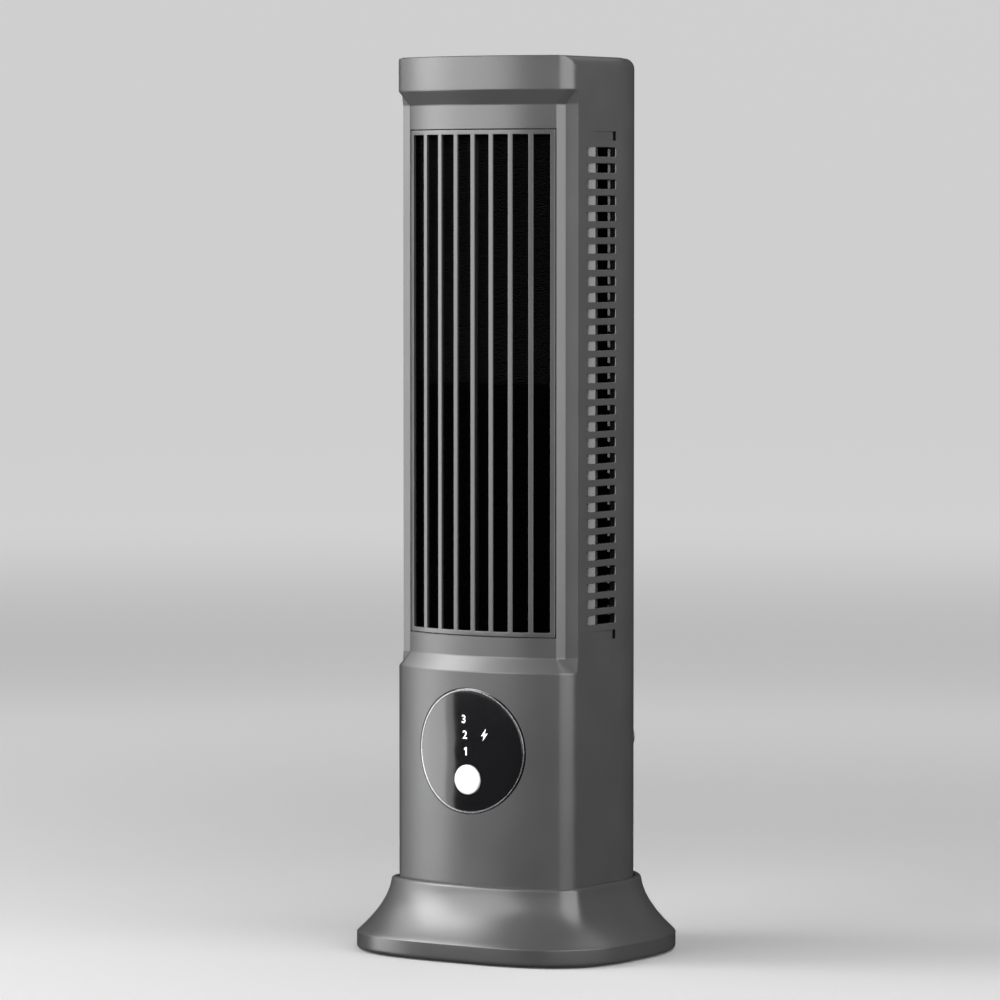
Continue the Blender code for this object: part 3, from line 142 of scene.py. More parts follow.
def noise(tree, size, detail=2.0, stretch=(1.0, 1.0, 1.0)):
    """Noise whose blots are about the given size in metres."""
    place = add_node(tree, "ShaderNodeTexCoord")
    mapping = add_node(tree, "ShaderNodeMapping", scale=stretch)
    blots = add_node(tree, "ShaderNodeTexNoise", scale=1.0 / size, detail=detail)
    tree.links.new(place.outputs["Object"], mapping.inputs["Vector"])
    tree.links.new(mapping.outputs["Vector"], blots.inputs["Vector"])
    return blots.outputs["Fac"]


def between(tree, source, low, high, start=0.3, end=0.7, curve="LINEAR"):
    """Start to end, by default the middle of a noise's range, spread over low to high."""
    spread = add_node(tree, "ShaderNodeMapRange", interpolation_type=curve)
    set_sockets(spread, {"From Min": start, "From Max": end, "To Min": low, "To Max": high})
    tree.links.new(source, spread.inputs["Value"])
    return spread.outputs["Result"]


def shade_of(colour, share=1.0):
    return (*[c * share for c in colour], 1.0)


def tint(tree, source, colour, change):
    """The colour made a little darker and lighter where the source is low and high."""
    blend = add_node(tree, "ShaderNodeMix", data_type="RGBA")
    set_sockets(blend, {"A": shade_of(colour, 1 - change), "B": shade_of(colour, 1 + change)})
    tree.links.new(between(tree, source, 0.0, 1.0), blend.inputs["Factor"])
    return blend.outputs["Result"]


def colour_and_gloss(tree, shader, source, colour, change, dull, duller):
    """Links a noise to the colour and the roughness of a finish."""
    tree.links.new(tint(tree, source, colour, change), shader.inputs["Base Color"])
    tree.links.new(between(tree, source, dull, duller), shader.inputs["Roughness"])


def bump(tree, shader, source, depth, strength=1.0):
    relief = add_node(tree, "ShaderNodeBump", strength=strength, distance=depth)
    tree.links.new(source, relief.inputs["Height"])
    tree.links.new(relief.outputs["Normal"], shader.inputs["Normal"])


def moulded(name, colour, roughness, grain=0.35 * MM, depth=0.004 * MM, change=0.04,
            sheen=0.5):
    """Injection-moulded plastic: a fine even grain from the tool and faint cloudy gloss."""
    finish, tree, shader = start_finish(name)
    grains = noise(tree, grain, 3.0)
    clouds = noise(tree, CLOUD_SIZE, 2.0)
    colour_and_gloss(tree, shader, clouds, colour, change, roughness - 0.02, roughness + 0.03)
    shader.inputs["Specular IOR Level"].default_value = sheen
    bump(tree, shader, grains, depth)
    return finish


def metal(name, colour, roughness, stretch=(1.0, 1.0, 1.0), depth=0.002 * MM):
    """Bare or plated metal with fine rolling or turning marks."""
    finish, tree, shader = start_finish(name)
    shader.inputs["Metallic"].default_value = 1.0
    marks = noise(tree, TOOL_MARK, 3.0, stretch)
    colour_and_gloss(tree, shader, marks, colour, 0.08, roughness - 0.05, roughness + 0.07)
    bump(tree, shader, marks, depth)
    return finish


# %% [markdown]
# ## Finishes that show
# The column, the foot, the back cover and the grille are all moulded in one dark grey plastic. Its
# tool was blasted to a fine grain, so it has a silky sheen instead of a gloss. The grain is far too
# small to model, and a flat grey would look like paint in a drawing, so noise at a third of a
# millimetre bends the light and a slow cloud of noise makes the gloss drift, as the flow of the
# melt does. Light dies out inside a fan, so the walls that face inwards get a near-black painted
# shade in place of their own grey plastic, and do not shine through the slots.

# %% Grey plastics
GRAPHITE = (0.034, 0.034, 0.035)
body_finish = moulded("graphite_plastic", GRAPHITE, 0.34)
rear_finish = moulded("graphite_plastic_back", GRAPHITE, 0.34)
grille_finish = moulded("graphite_plastic_grille", GRAPHITE, 0.30)
foot_finish = moulded("graphite_plastic_foot", GRAPHITE, 0.30)
# Near-black painted shade for inward faces: the real walls are the grey plastic, and this colour
# stands in for the shade inside the fan.
painted_shade_finish = moulded("painted_shade_inside", (0.004, 0.004, 0.004), 0.85, 0.6 * MM, 0.01 * MM,
                        sheen=0.05)
plate_finish = moulded("dark_base_plastic", (0.035, 0.035, 0.036), 0.55, 0.6 * MM, 0.01 * MM)
duct_finish = moulded("duct_plastic", (0.02, 0.02, 0.021), 0.6, sheen=0.2)
# The wheel is black plastic, made near-black with little sheen so it also serves as painted shade
# seen through the grille.
black_wheel_shade_finish = moulded("black_wheel_plastic_and_painted_shade", (0.006, 0.006, 0.006), 0.55, sheen=0.08)
print("grey plastics ready:", body_finish.name, foot_finish.name)

# %% [markdown]
# The round control window is a clear plastic lens painted black behind, so it mirrors the room. A
# real one is not quite flat and not quite clean: faint ripples from moulding, and a trace of dust.
# A slow bump of a few thousandths of a millimetre gives the ripple without breaking the reflection.

# %% Gloss finishes
def gloss_finish(name, colour, roughness, ripple):
    finish, tree, shader = start_finish(name)
    waves = noise(tree, 9 * MM, 1.0)
    smears = noise(tree, 2.5 * MM, 4.0)
    colour_and_gloss(tree, shader, smears, colour, 0.05, roughness, roughness + 0.02)
    bump(tree, shader, waves, ripple, 0.3)
    return finish


lens_finish = gloss_finish("black_lens_gloss", (0.004, 0.004, 0.0045), 0.10, 0.0015 * MM)
button_finish = gloss_finish("white_button_gloss", (0.50, 0.50, 0.495), 0.25, 0.003 * MM)
print("gloss finishes ready:", lens_finish.name, button_finish.name)


# %% Bright ring, printed marks and rubber
WHITE = (1.0, 1.0, 1.0, 1.0)


def mark_finish():
    """White lit ink: almost flat, with a trace of its screen's texture."""
    finish, tree, shader = start_finish("white_mark_ink")
    dots = noise(tree, 0.12 * MM, 1.0)
    colour_and_gloss(tree, shader, dots, (0.88, 0.88, 0.88), 0.03, 0.4, 0.5)
    set_sockets(shader, {"Emission Color": WHITE, "Emission Strength": 0.35})
    bump(tree, shader, dots, 0.003 * MM)
    return finish


ring_finish = metal("bright_ring_metal", (0.30, 0.305, 0.31), 0.28)
mark_ink = mark_finish()
rubber_finish = moulded("black_rubber", (0.018, 0.018, 0.018), 0.8, 0.5 * MM, 0.02 * MM, 0.1)
screw_finish = metal("blackened_screw_steel", (0.16, 0.16, 0.17), 0.4)
socket_finish = metal("plated_socket_steel", (0.55, 0.55, 0.56), 0.28)
print("small finishes ready")

# %% [markdown]
# ## The plan of the column
# Seen from above the column is a rounded square. Its front is a shallow arc, its front corners are
# tight and its back corners are wide. One function could list points by hand, but a plan made of
# named arcs stays smooth at any number of steps, and the same plan then serves the housing, the
# set-back field round the grille and the foot's collar. Half the plan is drawn and mirrored.

# %% Plan measurements
HEIGHT = cad_high.z
HALF_WIDTH = 35 * MM
FRONT_Y = -32.8 * MM
FRONT_R = 74 * MM
CORNER_R = 6.5 * MM
REAR_Y = 36.6 * MM
REAR_R = 30 * MM
TOP_ROUND = 3.7 * MM
WALL = 2.2 * MM
RECESS = 2.83 * MM
WINDOW_X = 29.0 * MM
SHOULDER_X = 30.8 * MM
SHOULDER_LEAN = 0.6 * MM
EDGE_ROUND = 0.45 * MM
COVER_FROM = 34.0
EDGE_STRIP = 0.93
FRONT_STEPS = 24
CORNER_STEPS = 10
SIDE_STEPS = 6
REAR_STEPS = 24


def front_y(x, set_back=0.0):
    """Where the curved front lies at x, or a face set back behind it."""
    return FRONT_Y + FRONT_R - math.sqrt((FRONT_R - set_back) ** 2 - x * x)


CORNER_X = HALF_WIDTH - CORNER_R
CORNER_Y = FRONT_Y + FRONT_R - math.sqrt((FRONT_R - CORNER_R) ** 2 - CORNER_X ** 2)
CORNER_START = math.atan2(CORNER_X, FRONT_Y + FRONT_R - CORNER_Y)
REAR_MIDDLE = Vector((HALF_WIDTH - REAR_R, REAR_Y - REAR_R))


def rear_point(degrees, radius=REAR_R):
    turn = math.radians(degrees)
    return REAR_MIDDLE.x + radius * math.cos(turn), REAR_MIDDLE.y + radius * math.sin(turn)


def plain_half(cut):
    """Front arc and corner. A cut takes that much off the corner where the top is rounded away."""
    end_x = FRONT_R * math.sin(CORNER_START)
    points = [(end_x * i / FRONT_STEPS, front_y(end_x * i / FRONT_STEPS))
              for i in range(FRONT_STEPS + 1)]
    last = math.asin((CORNER_R - cut) / CORNER_R)
    for i in range(1, CORNER_STEPS + 2):
        turn = CORNER_START + (last - CORNER_START) * i / (CORNER_STEPS + 1)
        points.append((CORNER_X + CORNER_R * math.sin(turn), CORNER_Y - CORNER_R * math.cos(turn)))
    return points


def field_half():
    """Front arc of the set-back field, its flat edge strip, and the leaning shoulder beside it."""
    points = [(WINDOW_X * i / FRONT_STEPS, front_y(WINDOW_X * i / FRONT_STEPS, RECESS))
              for i in range(FRONT_STEPS + 1)]
    start = Vector(points[-1])
    end = Vector((SHOULDER_X, CORNER_Y - SHOULDER_LEAN))
    lean = math.asin(WINDOW_X / (FRONT_R - RECESS))
    bend = start + Vector((1.0, math.tan(lean))) * EDGE_ROUND
    strip = bend + (end - bend).normalized() * EDGE_ROUND
    rounding = CORNER_STEPS - 2
    for i in range(1, rounding + 1):
        t = i / rounding
        points.append(tuple(start * (1 - t) ** 2 + bend * 2 * t * (1 - t) + strip * t * t))
    points += [tuple(strip.lerp(end, EDGE_STRIP)), tuple(end)]
    points.append((HALF_WIDTH, CORNER_Y + SHOULDER_LEAN))
    return points


def plan(field=False, shrink=0.0):
    """The whole loop; shrink pulls the sides and the back inwards but leaves the front face."""
    half = field_half() if field else plain_half(shrink)
    side_x, front_end = HALF_WIDTH - shrink, half[-1][1]
    for i in range(1, SIDE_STEPS):
        half.append((side_x, front_end + (REAR_MIDDLE.y - front_end) * i / SIDE_STEPS))
    half += [rear_point(turn, REAR_R - shrink) for turn in REAR_TURNS]
    half.append((0.0, REAR_Y - shrink))
    return half + [(-x, y) for x, y in reversed(half[1:-1])]


REAR_TURNS = sorted({90.0 * i / REAR_STEPS for i in range(REAR_STEPS + 1)} | {COVER_FROM})


def offset_loop(loop, depth):
    """The loop moved inwards by a depth, with each corner kept on its mitre."""
    result = []
    for i, point in enumerate(loop):
        before = Vector(point) - Vector(loop[i - 1])
        after = Vector(loop[(i + 1) % len(loop)]) - Vector(point)
        n0 = Vector((-before.y, before.x)).normalized()
        n1 = Vector((-after.y, after.x)).normalized()
        result.append(tuple(Vector(point) + (n0 + n1) / (1 + n0.dot(n1)) * depth))
    return result


print("points round the plan:", len(plan()))

# %% [markdown]
# ## Tools for meshes
# Most pieces here are grids: rows of points joined into faces. A shell with real wall thickness
# needs an outer grid, an inner grid and rims round every opening, so one helper walks the cells and
# closes whatever side of a missing cell is open. Cuts that do not follow the grid, such as the
# slots, are made afterwards with Booleans. The last helper freezes the modifiers and sets the
# shading: faces that meet at more than thirty degrees keep a crisp edge, and larger faces decide
# the shading of shared ones.

# %% Helpers for meshes
def to_object(name, bm, *finishes):
    """The drawn faces as an object of the scene."""
    bmesh.ops.recalc_face_normals(bm, faces=bm.faces)
    mesh = bpy.data.meshes.new(name)
    bm.to_mesh(mesh)
    bm.free()
    for finish in finishes:
        mesh.materials.append(finish)
    made = bpy.data.objects.new(name, mesh)
    bpy.context.scene.collection.objects.link(made)
    return made


def make_piece(name, bm, slot, *finishes, node=None, body=COLUMN):
    """A piece that rides on a body and stands for a part; faces marked 1 take the second finish."""
    piece = to_object(name, bm, *finishes)
    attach(piece, body)
    if node:
        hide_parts(node)
    return piece


def cut(piece, bm, operation="DIFFERENCE"):
    """Takes a closed shape out of a piece, or adds it, and leaves no modifier behind."""
    tool = to_object("tool", bm)
    step = piece.modifiers.new("cut", "BOOLEAN")
    step.operation, step.solver, step.object = operation, "EXACT", tool
    freeze(piece)
    bpy.data.objects.remove(tool)


def freeze(piece):
    """The shape that the modifiers give becomes the piece's own mesh."""
    bpy.context.view_layer.update()
    shape = piece.evaluated_get(bpy.context.evaluated_depsgraph_get())
    mesh = bpy.data.meshes.new_from_object(shape)
    piece.modifiers.clear()
    piece.data = mesh


def soften(piece, width, segments=2, angle=40.0):
    """Rounds every edge sharper than the angle, as a moulding tool's cutter does."""
    step = piece.modifiers.new("soften", "BEVEL")
    step.width, step.segments = width, segments
    step.limit_method, step.angle_limit = "ANGLE", math.radians(angle)
    step.use_clamp_overlap = True
    freeze(piece)


def shade(piece, angle=30.0):
    piece.data.shade_smooth()
    piece.data.set_sharp_from_angle(angle=math.radians(angle))
    weights = piece.modifiers.new("even_shading", "WEIGHTED_NORMAL")
    weights.keep_sharp = True
    weights.weight = 100
    print(piece.name, "faces:", len(piece.data.polygons))
    return piece


def join_rings(bm, rings, closed=False):
    pairs = list(zip(rings, rings[1:]))
    if closed:
        pairs.append((rings[-1], rings[0]))
    for a, b in pairs:
        for i in range(len(a)):
            j = (i + 1) % len(a)
            bm.faces.new((a[i], a[j], b[j], b[i]))


def new_rings(bm, rings):
    return [[bm.verts.new(point) for point in ring] for ring in rings]


def lofted(bm, rings):
    """A closed solid through rings of points, with flat ends."""
    made = new_rings(bm, rings)
    join_rings(bm, made)
    bm.faces.new(made[0])
    bm.faces.new(list(reversed(made[-1])))


def tube(bm, rings):
    """A closed band of faces: the last ring joins the first again."""
    join_rings(bm, new_rings(bm, rings), True)


def solid_piece(name, rings, slot, finish, node=None, body=COLUMN, build=lofted):
    """A piece drawn as one solid through rings of points, or as a tube of them."""
    bm = bmesh.new()
    build(bm, rings)
    return make_piece(name, bm, slot, finish, node=node, body=body)


def carve(piece, rings):
    """Takes a solid drawn through rings out of a piece."""
    bm = bmesh.new()
    lofted(bm, rings)
    cut(piece, bm)


def drop_loose(bm):
    bmesh.ops.delete(bm, geom=[v for v in bm.verts if not v.link_faces], context="VERTS")


def circle(x, y, radius, sides):
    turns = [2 * math.pi * i / sides for i in range(sides)]
    return [(x + radius * math.cos(t), y + radius * math.sin(t)) for t in turns]


def rounded_box(half_w, half_h, radius, steps=4, side_steps=1):
    """A rectangle with round corners, as points going round it."""
    points = []
    for quarter, (sx, sy) in enumerate(((1, -1), (1, 1), (-1, 1), (-1, -1))):
        middle = Vector((sx * (half_w - radius), sy * (half_h - radius)))
        for i in range(steps + 1):
            turn = math.radians(-90 + 90 * quarter + 90 * i / steps)
            points.append(tuple(middle + Vector((math.cos(turn), math.sin(turn))) * radius))
    return points


# %% [markdown]
# ## The housing
# Front, sides and top are one moulding with a wall of a little over two millimetres. The face round
# the grille is set back behind short slopes, and a crisp edge runs along the top of the front while
# the sides and the back roll over into the roof. Sculpting that roll with a bevel would also round
# the front, so the plan is stacked instead: each level near the top is the same plan with its sides
# and back pulled in. Where a side rolls over, it bites into the tight front corner and leaves the
# small curved crease.

# %% Heights of the housing
HOUSING_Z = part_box("housing")[0].z
FIELD_Z0 = 96.0 * MM
FIELD_Z1 = 288.8 * MM
FIELD_SLOPE = 4.85 * MM
EASE = 0.35 * MM
TOP_EDGE = 0.25 * MM
ROLL_STEPS = 9


def slope_levels():
    """(height, share of set-back) up the front, with each bend eased over a few tenths."""
    bends = [(HOUSING_Z, 0.0), (FIELD_Z0, 0.0), (FIELD_Z0 + FIELD_SLOPE, 1.0),
             (FIELD_Z1 - FIELD_SLOPE, 1.0), (FIELD_Z1, 0.0), (HEIGHT - TOP_ROUND, 0.0)]
    levels = [bends[0]]
    for before, bend, after in zip(bends, bends[1:], bends[2:]):
        z, share = bend
        down = (before[1] - share) / (z - before[0]) if z > before[0] else 0.0
        up = (after[1] - share) / (after[0] - z)
        for t in (-1.0, -0.5, 0.0, 0.5, 1.0):
            line = down * -t if t < 0 else up * t
            ease = (1 - abs(t)) ** 2 / 4 * (down + up)
            levels.append((z + t * EASE, share + EASE * (line + ease)))
    return levels + [bends[-1]]


def blend_loops(a, b, share):
    return [tuple(Vector(p).lerp(Vector(q), share)) for p, q in zip(a, b)]


def housing_levels():
    """Outer and inner loops with their heights, from the foot to the roof."""
    plain, field = plan(), plan(field=True)
    inner_plain, inner_field = offset_loop(plain, WALL), offset_loop(field, WALL)
    levels = []
    for z, share in slope_levels():
        inner = blend_loops(inner_plain, inner_field, share)
        levels.append((z, blend_loops(plain, field, share), z, inner))
    inner_round = TOP_ROUND - WALL
    for i in range(1, ROLL_STEPS + 1):
        turn = math.pi / 2 * i / ROLL_STEPS
        pull, lift = 1 - math.cos(turn), math.sin(turn)
        z = min(HEIGHT - TOP_ROUND + TOP_ROUND * lift, HEIGHT - TOP_EDGE)
        inner_z = HEIGHT - WALL - inner_round * (1 - lift)
        outer = plan(shrink=TOP_ROUND * pull)
        levels.append((z, outer, inner_z, offset_loop(plan(shrink=inner_round * pull), WALL)))
    return levels


# %% Build the housing's shell
def wall_cell(outer, inner, j, n, k):
    """The outer and the inner face of the cell between columns j and n, above row k."""
    return ((outer[k][j], outer[k][n], outer[k + 1][n], outer[k + 1][j]),
            (inner[k][n], inner[k][j], inner[k + 1][j], inner[k + 1][n]))


def cell_rims(outer, inner, j, n, k):
    """Faces through the wall on the far, near, lower and upper side of a cell."""
    return ((outer[k][n], inner[k][n], inner[k + 1][n], outer[k + 1][n]),
            (outer[k][j], outer[k + 1][j], inner[k + 1][j], inner[k][j]),
            (outer[k][j], inner[k][j], inner[k][n], outer[k][n]),
            (outer[k + 1][j], outer[k + 1][n], inner[k + 1][n], inner[k + 1][j]))


def add_shell(bm, levels, holes):
    """Outer and inner walls through the levels, open at the named cells and along the bottom."""
    outer = new_rings(bm, [[(x, y, z) for x, y in loop] for z, loop, _, _ in levels])
    inner = new_rings(bm, [[(x, y, z) for x, y in loop] for _, _, z, loop in levels])
    count = len(outer[0])
    for k in range(len(levels) - 1):
        for j in range(count):
            n = (j + 1) % count
            outside, inside = wall_cell(outer, inner, j, n, k)
            # Inward faces and the rims of openings take the second finish, which on the housing is
            # the near-black painted shade.
            if (j, k) not in holes:
                bm.faces.new(outside)
                bm.faces.new(inside).material_index = 1
                continue
            beyond = ((n, k), ((j - 1) % count, k), (j, k - 1), (j, k + 1))
            for neighbour, corners in zip(beyond, cell_rims(outer, inner, j, n, k)):
                if neighbour not in holes:
                    bm.faces.new(corners).material_index = 1
    join_rings(bm, [inner[0], outer[0]])
    bm.faces.new(outer[-1])
    bm.faces.new(list(reversed(inner[-1]))).material_index = 1


levels = housing_levels()
roof = offset_loop(levels[-1][1], TOP_EDGE)
levels.append((HEIGHT, roof, levels[-1][2] + 0.01 * MM, offset_loop(levels[-1][3], 0.05 * MM)))
loop_count = len(levels[0][1])
first_open = FRONT_STEPS + CORNER_STEPS + 1 + SIDE_STEPS + REAR_TURNS.index(COVER_FROM)
open_rows = [k for k, level in enumerate(levels)
             if FIELD_Z0 - MM / 10 < level[0] < FIELD_Z1 - MM / 10]
holes = set()
for cell in range(first_open, loop_count - first_open):
    holes |= {(cell, k) for k in open_rows}
bm = bmesh.new()
add_shell(bm, levels, holes)
drop_loose(bm)
bmesh.ops.remove_doubles(bm, verts=bm.verts, dist=0.005 * MM)
housing = make_piece("body_shell", bm, "graphite_body", body_finish, painted_shade_finish, node="housing")
print("housing shell faces:", len(housing.data.polygons))

# %% [markdown]
# ### Openings in the housing
# The outlet window, the thirty slots in each side and the round seat of the control window all have
# a tiny chamfer at the mouth, where the tool's edges are broken. A chamfer drawn into each cutter
# is sturdier than a bevel over a finished shell: the cutter simply grows wider where it meets the
# surface. A shallow scoop leads into the front of each slot. Above and below each row the tool
# leaves one more slot that never breaks through: a ramp that runs out at the front and ends in a
# small step at the back.

# %% Cut the outlet window and the control window
MOUTH = 0.2 * MM
CLEAR = 0.05 * MM
CUTTER_REACH = 12 * MM
WINDOW_Z0 = 107.6 * MM
WINDOW_Z1 = 275.85 * MM
ring_low, ring_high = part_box("panel_ring")
PANEL_Z = (ring_low.z + ring_high.z) / 2
BEZEL_R = (ring_high.x - ring_low.x) / 2
SNUG = 0.15 * MM


def front_mouth(bm, outline, set_back, z):
    """A cutter into the curved front: an outline in x and z, chamfered where it meets the face."""
    rings = []
    for grow, offset in ((MOUTH + CLEAR, -CLEAR), (0.0, MOUTH)):
        ring = offset_loop(outline, -grow)
        rings.append([(x, front_y(x, set_back) + offset, z + up) for x, up in ring])
    far = [(x, FRONT_Y - 4 * MM, up) for x, _, up in rings[0]]
    near = [(x, FRONT_Y + CUTTER_REACH + RECESS, up) for x, _, up in rings[1]]
    lofted(bm, [far, rings[0], rings[1], near])


def window_outline():
    """The window's rectangle with points along its short sides, to follow the curved face."""
    half_w, half_h, steps = WINDOW_X, (WINDOW_Z1 - WINDOW_Z0) / 2, 20
    low = [(-half_w + 2 * half_w * i / steps, -half_h) for i in range(steps + 1)]
    high = [(x, half_h) for x, _ in reversed(low)]
    return low + high


bm = bmesh.new()
front_mouth(bm, window_outline(), RECESS, (WINDOW_Z0 + WINDOW_Z1) / 2)
front_mouth(bm, circle(0, 0, BEZEL_R + SNUG, 96), 0.0, PANEL_Z)
cut(housing, bm)
print("window in mm:", 2 * WINDOW_X / MM, "by", round((WINDOW_Z1 - WINDOW_Z0) / MM, 1))

# %% Cut the side slots
SLOT_COUNT = 30
SLOT_PITCH = 5.355 * MM
SLOT_HEIGHT = 3.1 * MM
SLOT_TOP_Z = 269.9 * MM
SLOT_Y1 = 3.6 * MM
SLOT_SHARE = 0.52
SLOT_Y0 = SLOT_Y1 - SLOT_SHARE * (SLOT_Y1 - CORNER_Y)
SCOOP_Y0 = -14.3 * MM
SLOT_CORNER = 0.6 * MM
SCOOP = ((0.0, -0.05), (0.8, 0.7), (1.6, 1.25), (2.4, 1.4), (3.2, 1.2), (4.2, 0.8), (5.0, 0.4),
         (5.6, 0.15))
BLIND = ((0.0, -0.05), (9.0, 0.25), (16.9, 0.5), (17.0, 2.0), (17.9, 2.0))
slot_middle = (SLOT_Y0 + SLOT_Y1) / 2
slot_outline = rounded_box((SLOT_Y1 - SLOT_Y0) / 2, SLOT_HEIGHT / 2, SLOT_CORNER)


def side_mouth(bm, side, z):
    """A cutter through one side at a height, chamfered at the surface."""
    rings = []
    for x, grow in ((HALF_WIDTH + CLEAR, MOUTH + CLEAR), (HALF_WIDTH - MOUTH, 0.0),
                    (HALF_WIDTH - 2 * WALL, 0.0)):
        ring = offset_loop(slot_outline, -grow)
        rings.append([(side * x, slot_middle + y, z + up) for y, up in ring])
    lofted(bm, rings)


def hollow(bm, side, z, shape):
    """A shallow cutter into the side, from (distance back, depth) pairs in millimetres."""
    rings = []
    low, high = z - SLOT_HEIGHT / 2, z + SLOT_HEIGHT / 2
    for back, depth in shape:
        near, far = side * (HALF_WIDTH - depth * MM), side * (HALF_WIDTH + MM)
        y = SCOOP_Y0 + back * MM
        rings.append([(near, y, low), (far, y, low), (far, y, high), (near, y, high)])
    lofted(bm, rings)


slot_heights = [SLOT_TOP_Z - SLOT_HEIGHT / 2 - SLOT_PITCH * i for i in range(-1, SLOT_COUNT + 1)]
for side in (1, -1):
    bm = bmesh.new()
    for z in slot_heights[1:-1]:
        side_mouth(bm, side, z)
    cut(housing, bm)
    # The walls through each slot take the near-black painted shade as well.
    for face in housing.data.polygons:
        x, y, z = face.center
        in_wall = WALL / 10 < HALF_WIDTH - MOUTH - abs(x) < WALL
        if in_wall and SLOT_Y0 - MM < y < SLOT_Y1 + MM and FIELD_Z0 < z < FIELD_Z1:
            face.material_index = 1
    bm = bmesh.new()
    for z in slot_heights:
        hollow(bm, side, z, SCOOP if z in slot_heights[1:-1] else BLIND)
    cut(housing, bm)
print("slots cut:", 2 * SLOT_COUNT)

# %% [markdown]
# ### The charging inlet
# A small raised surround sits on the right rear corner with a metal socket inside it. The corner is
# curved, so the inlet is drawn flat, lying on its back, and then swung round the corner's middle.
# The same swing places the hole in the housing, the surround, the socket and the tongue in the
# socket.

# %% Swing pieces to the inlet
PORT_TURN = math.radians(54.0)
PORT_Z = sum(corner.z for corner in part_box("port_surround")) / 2
PORT_HALF_W = 5.8 * MM
PORT_HALF_H = 3.6 * MM
SOCKET_HALF_W = 4.5 * MM
SOCKET_HALF_H = 1.6 * MM
SOCKET_WALL = 0.4 * MM
SURROUND_PROUD = 0.5 * MM
SURROUND_EASE = 0.3 * MM
SURROUND_BACK = REAR_R - WALL - 0.6 * MM
port_out = Vector((math.cos(PORT_TURN), math.sin(PORT_TURN), 0.0))
port_wide = Vector((-math.sin(PORT_TURN), math.cos(PORT_TURN), 0.0))


def at_port(x, y, out):
    """A point x across, y up and so far out from the middle of the rear corner."""
    hub = Vector((REAR_MIDDLE.x, REAR_MIDDLE.y, PORT_Z))
    return hub + port_wide * x + Vector((0.0, 0.0, y)) + port_out * out


def port_rings(shape, levels):
    """Rings of an outline pulled in or grown, at distances out."""
    return [[at_port(x, y, out) for x, y in offset_loop(shape, inset)] for inset, out in levels]


def stadium(half_w, half_h, steps=10):
    return rounded_box(half_w, half_h, half_h * 0.999, steps)


carve(housing, port_rings(stadium(PORT_HALF_W + SNUG, PORT_HALF_H + SNUG),
                          [(0.0, REAR_R - 2 * WALL), (0.0, REAR_R + 2 * WALL)]))
shade(housing)

# %% Make the surround, the socket and its tongue
surround_face, ease = REAR_R + SURROUND_PROUD, SURROUND_EASE
mouth_hole = stadium(SOCKET_HALF_W + 2 * SNUG, SOCKET_HALF_H + 2 * SNUG)
outside = port_rings(stadium(PORT_HALF_W, PORT_HALF_H), [
    (0.0, SURROUND_BACK), (0.0, surround_face - ease), (0.3 * ease, surround_face - 0.3 * ease),
    (ease, surround_face)])
inside = port_rings(mouth_hole, [
    (-ease, surround_face), (0.0, surround_face - ease), (0.0, SURROUND_BACK)])
shade(solid_piece("inlet_surround", outside + inside, "graphite_body", body_finish, "port_surround",
                  build=tube))

socket_back, socket_face = REAR_R - 6.4 * MM, REAR_R + 0.2 * MM
shell_rings = port_rings(stadium(SOCKET_HALF_W, SOCKET_HALF_H), [
    (0.15 * MM, socket_back), (0.0, socket_back + 0.15 * MM), (0.0, socket_face - 0.1 * MM),
    (0.1 * MM, socket_face)])
shell_rings += port_rings(stadium(SOCKET_HALF_W, SOCKET_HALF_H), [
    (SOCKET_WALL, socket_face), (SOCKET_WALL, REAR_R - 5.4 * MM)])
shade(solid_piece("inlet_socket", shell_rings, "plated_steel", socket_finish, "charge_socket"))

tongue_rings = port_rings(rounded_box(3.0 * MM, 0.35 * MM, 0.2 * MM), [
    (0.0, REAR_R - 5.35 * MM), (0.0, REAR_R - 0.7 * MM), (0.12 * MM, REAR_R - 0.5 * MM)])
shade(solid_piece("inlet_tongue", tongue_rings, "black_nylon", plate_finish))

# %% [markdown]
# ## The back cover
# The back is a separate curved panel that closes the tall opening behind the wheel. It carries two
# more columns of slots and four screws in round wells. It is a single strip of the rear curve, so a
# grid of columns by rows makes it, with the slots left out as missing cells, and a fine bevel
# breaks every edge.

# %% Curved panels with openings
FIT = 0.3 * MM


def add_panel(bm, columns, heights, holes):
    """A curved plate from pairs of outer and inner plan points, open at the named cells."""
    outer, inner = (new_rings(bm, [[(*pair[face], z) for pair in columns] for z in heights])
                    for face in (0, 1))
    last_row, last_col = len(heights) - 1, len(columns) - 1

    def solid(j, k):
        return 0 <= j < last_col and 0 <= k < last_row and (j, k) not in holes

    for k in range(last_row):
        for j in range(last_col):
            if not solid(j, k):
                continue
            # Inward faces take the second finish, which on the back cover and the grille is the
            # near-black painted shade.
            outside, inside = wall_cell(outer, inner, j, j + 1, k)
            bm.faces.new(outside)
            bm.faces.new(inside).material_index = 1
            beyond = ((j + 1, k), (j - 1, k), (j, k - 1), (j, k + 1))
            for neighbour, corners in zip(beyond, cell_rims(outer, inner, j, j + 1, k)):
                if not solid(*neighbour):
                    bm.faces.new(corners)
    drop_loose(bm)


# %% Build the back cover
COVER_SLOT_FROM = 39.0
COVER_SLOT_TO = 73.0
COVER_SLOT_STEPS = 10
COVER_MIDDLE_TURNS = [78.0, 84.0, 90.0, None]
COVER_EASE = 0.18 * MM


def rear_pair(turn):
    """Outer and inner point of the back wall at an angle, or on the middle line."""
    if turn is None:
        return (0.0, REAR_Y), (0.0, REAR_Y - WALL)
    return rear_point(turn), rear_point(turn, REAR_R - WALL)


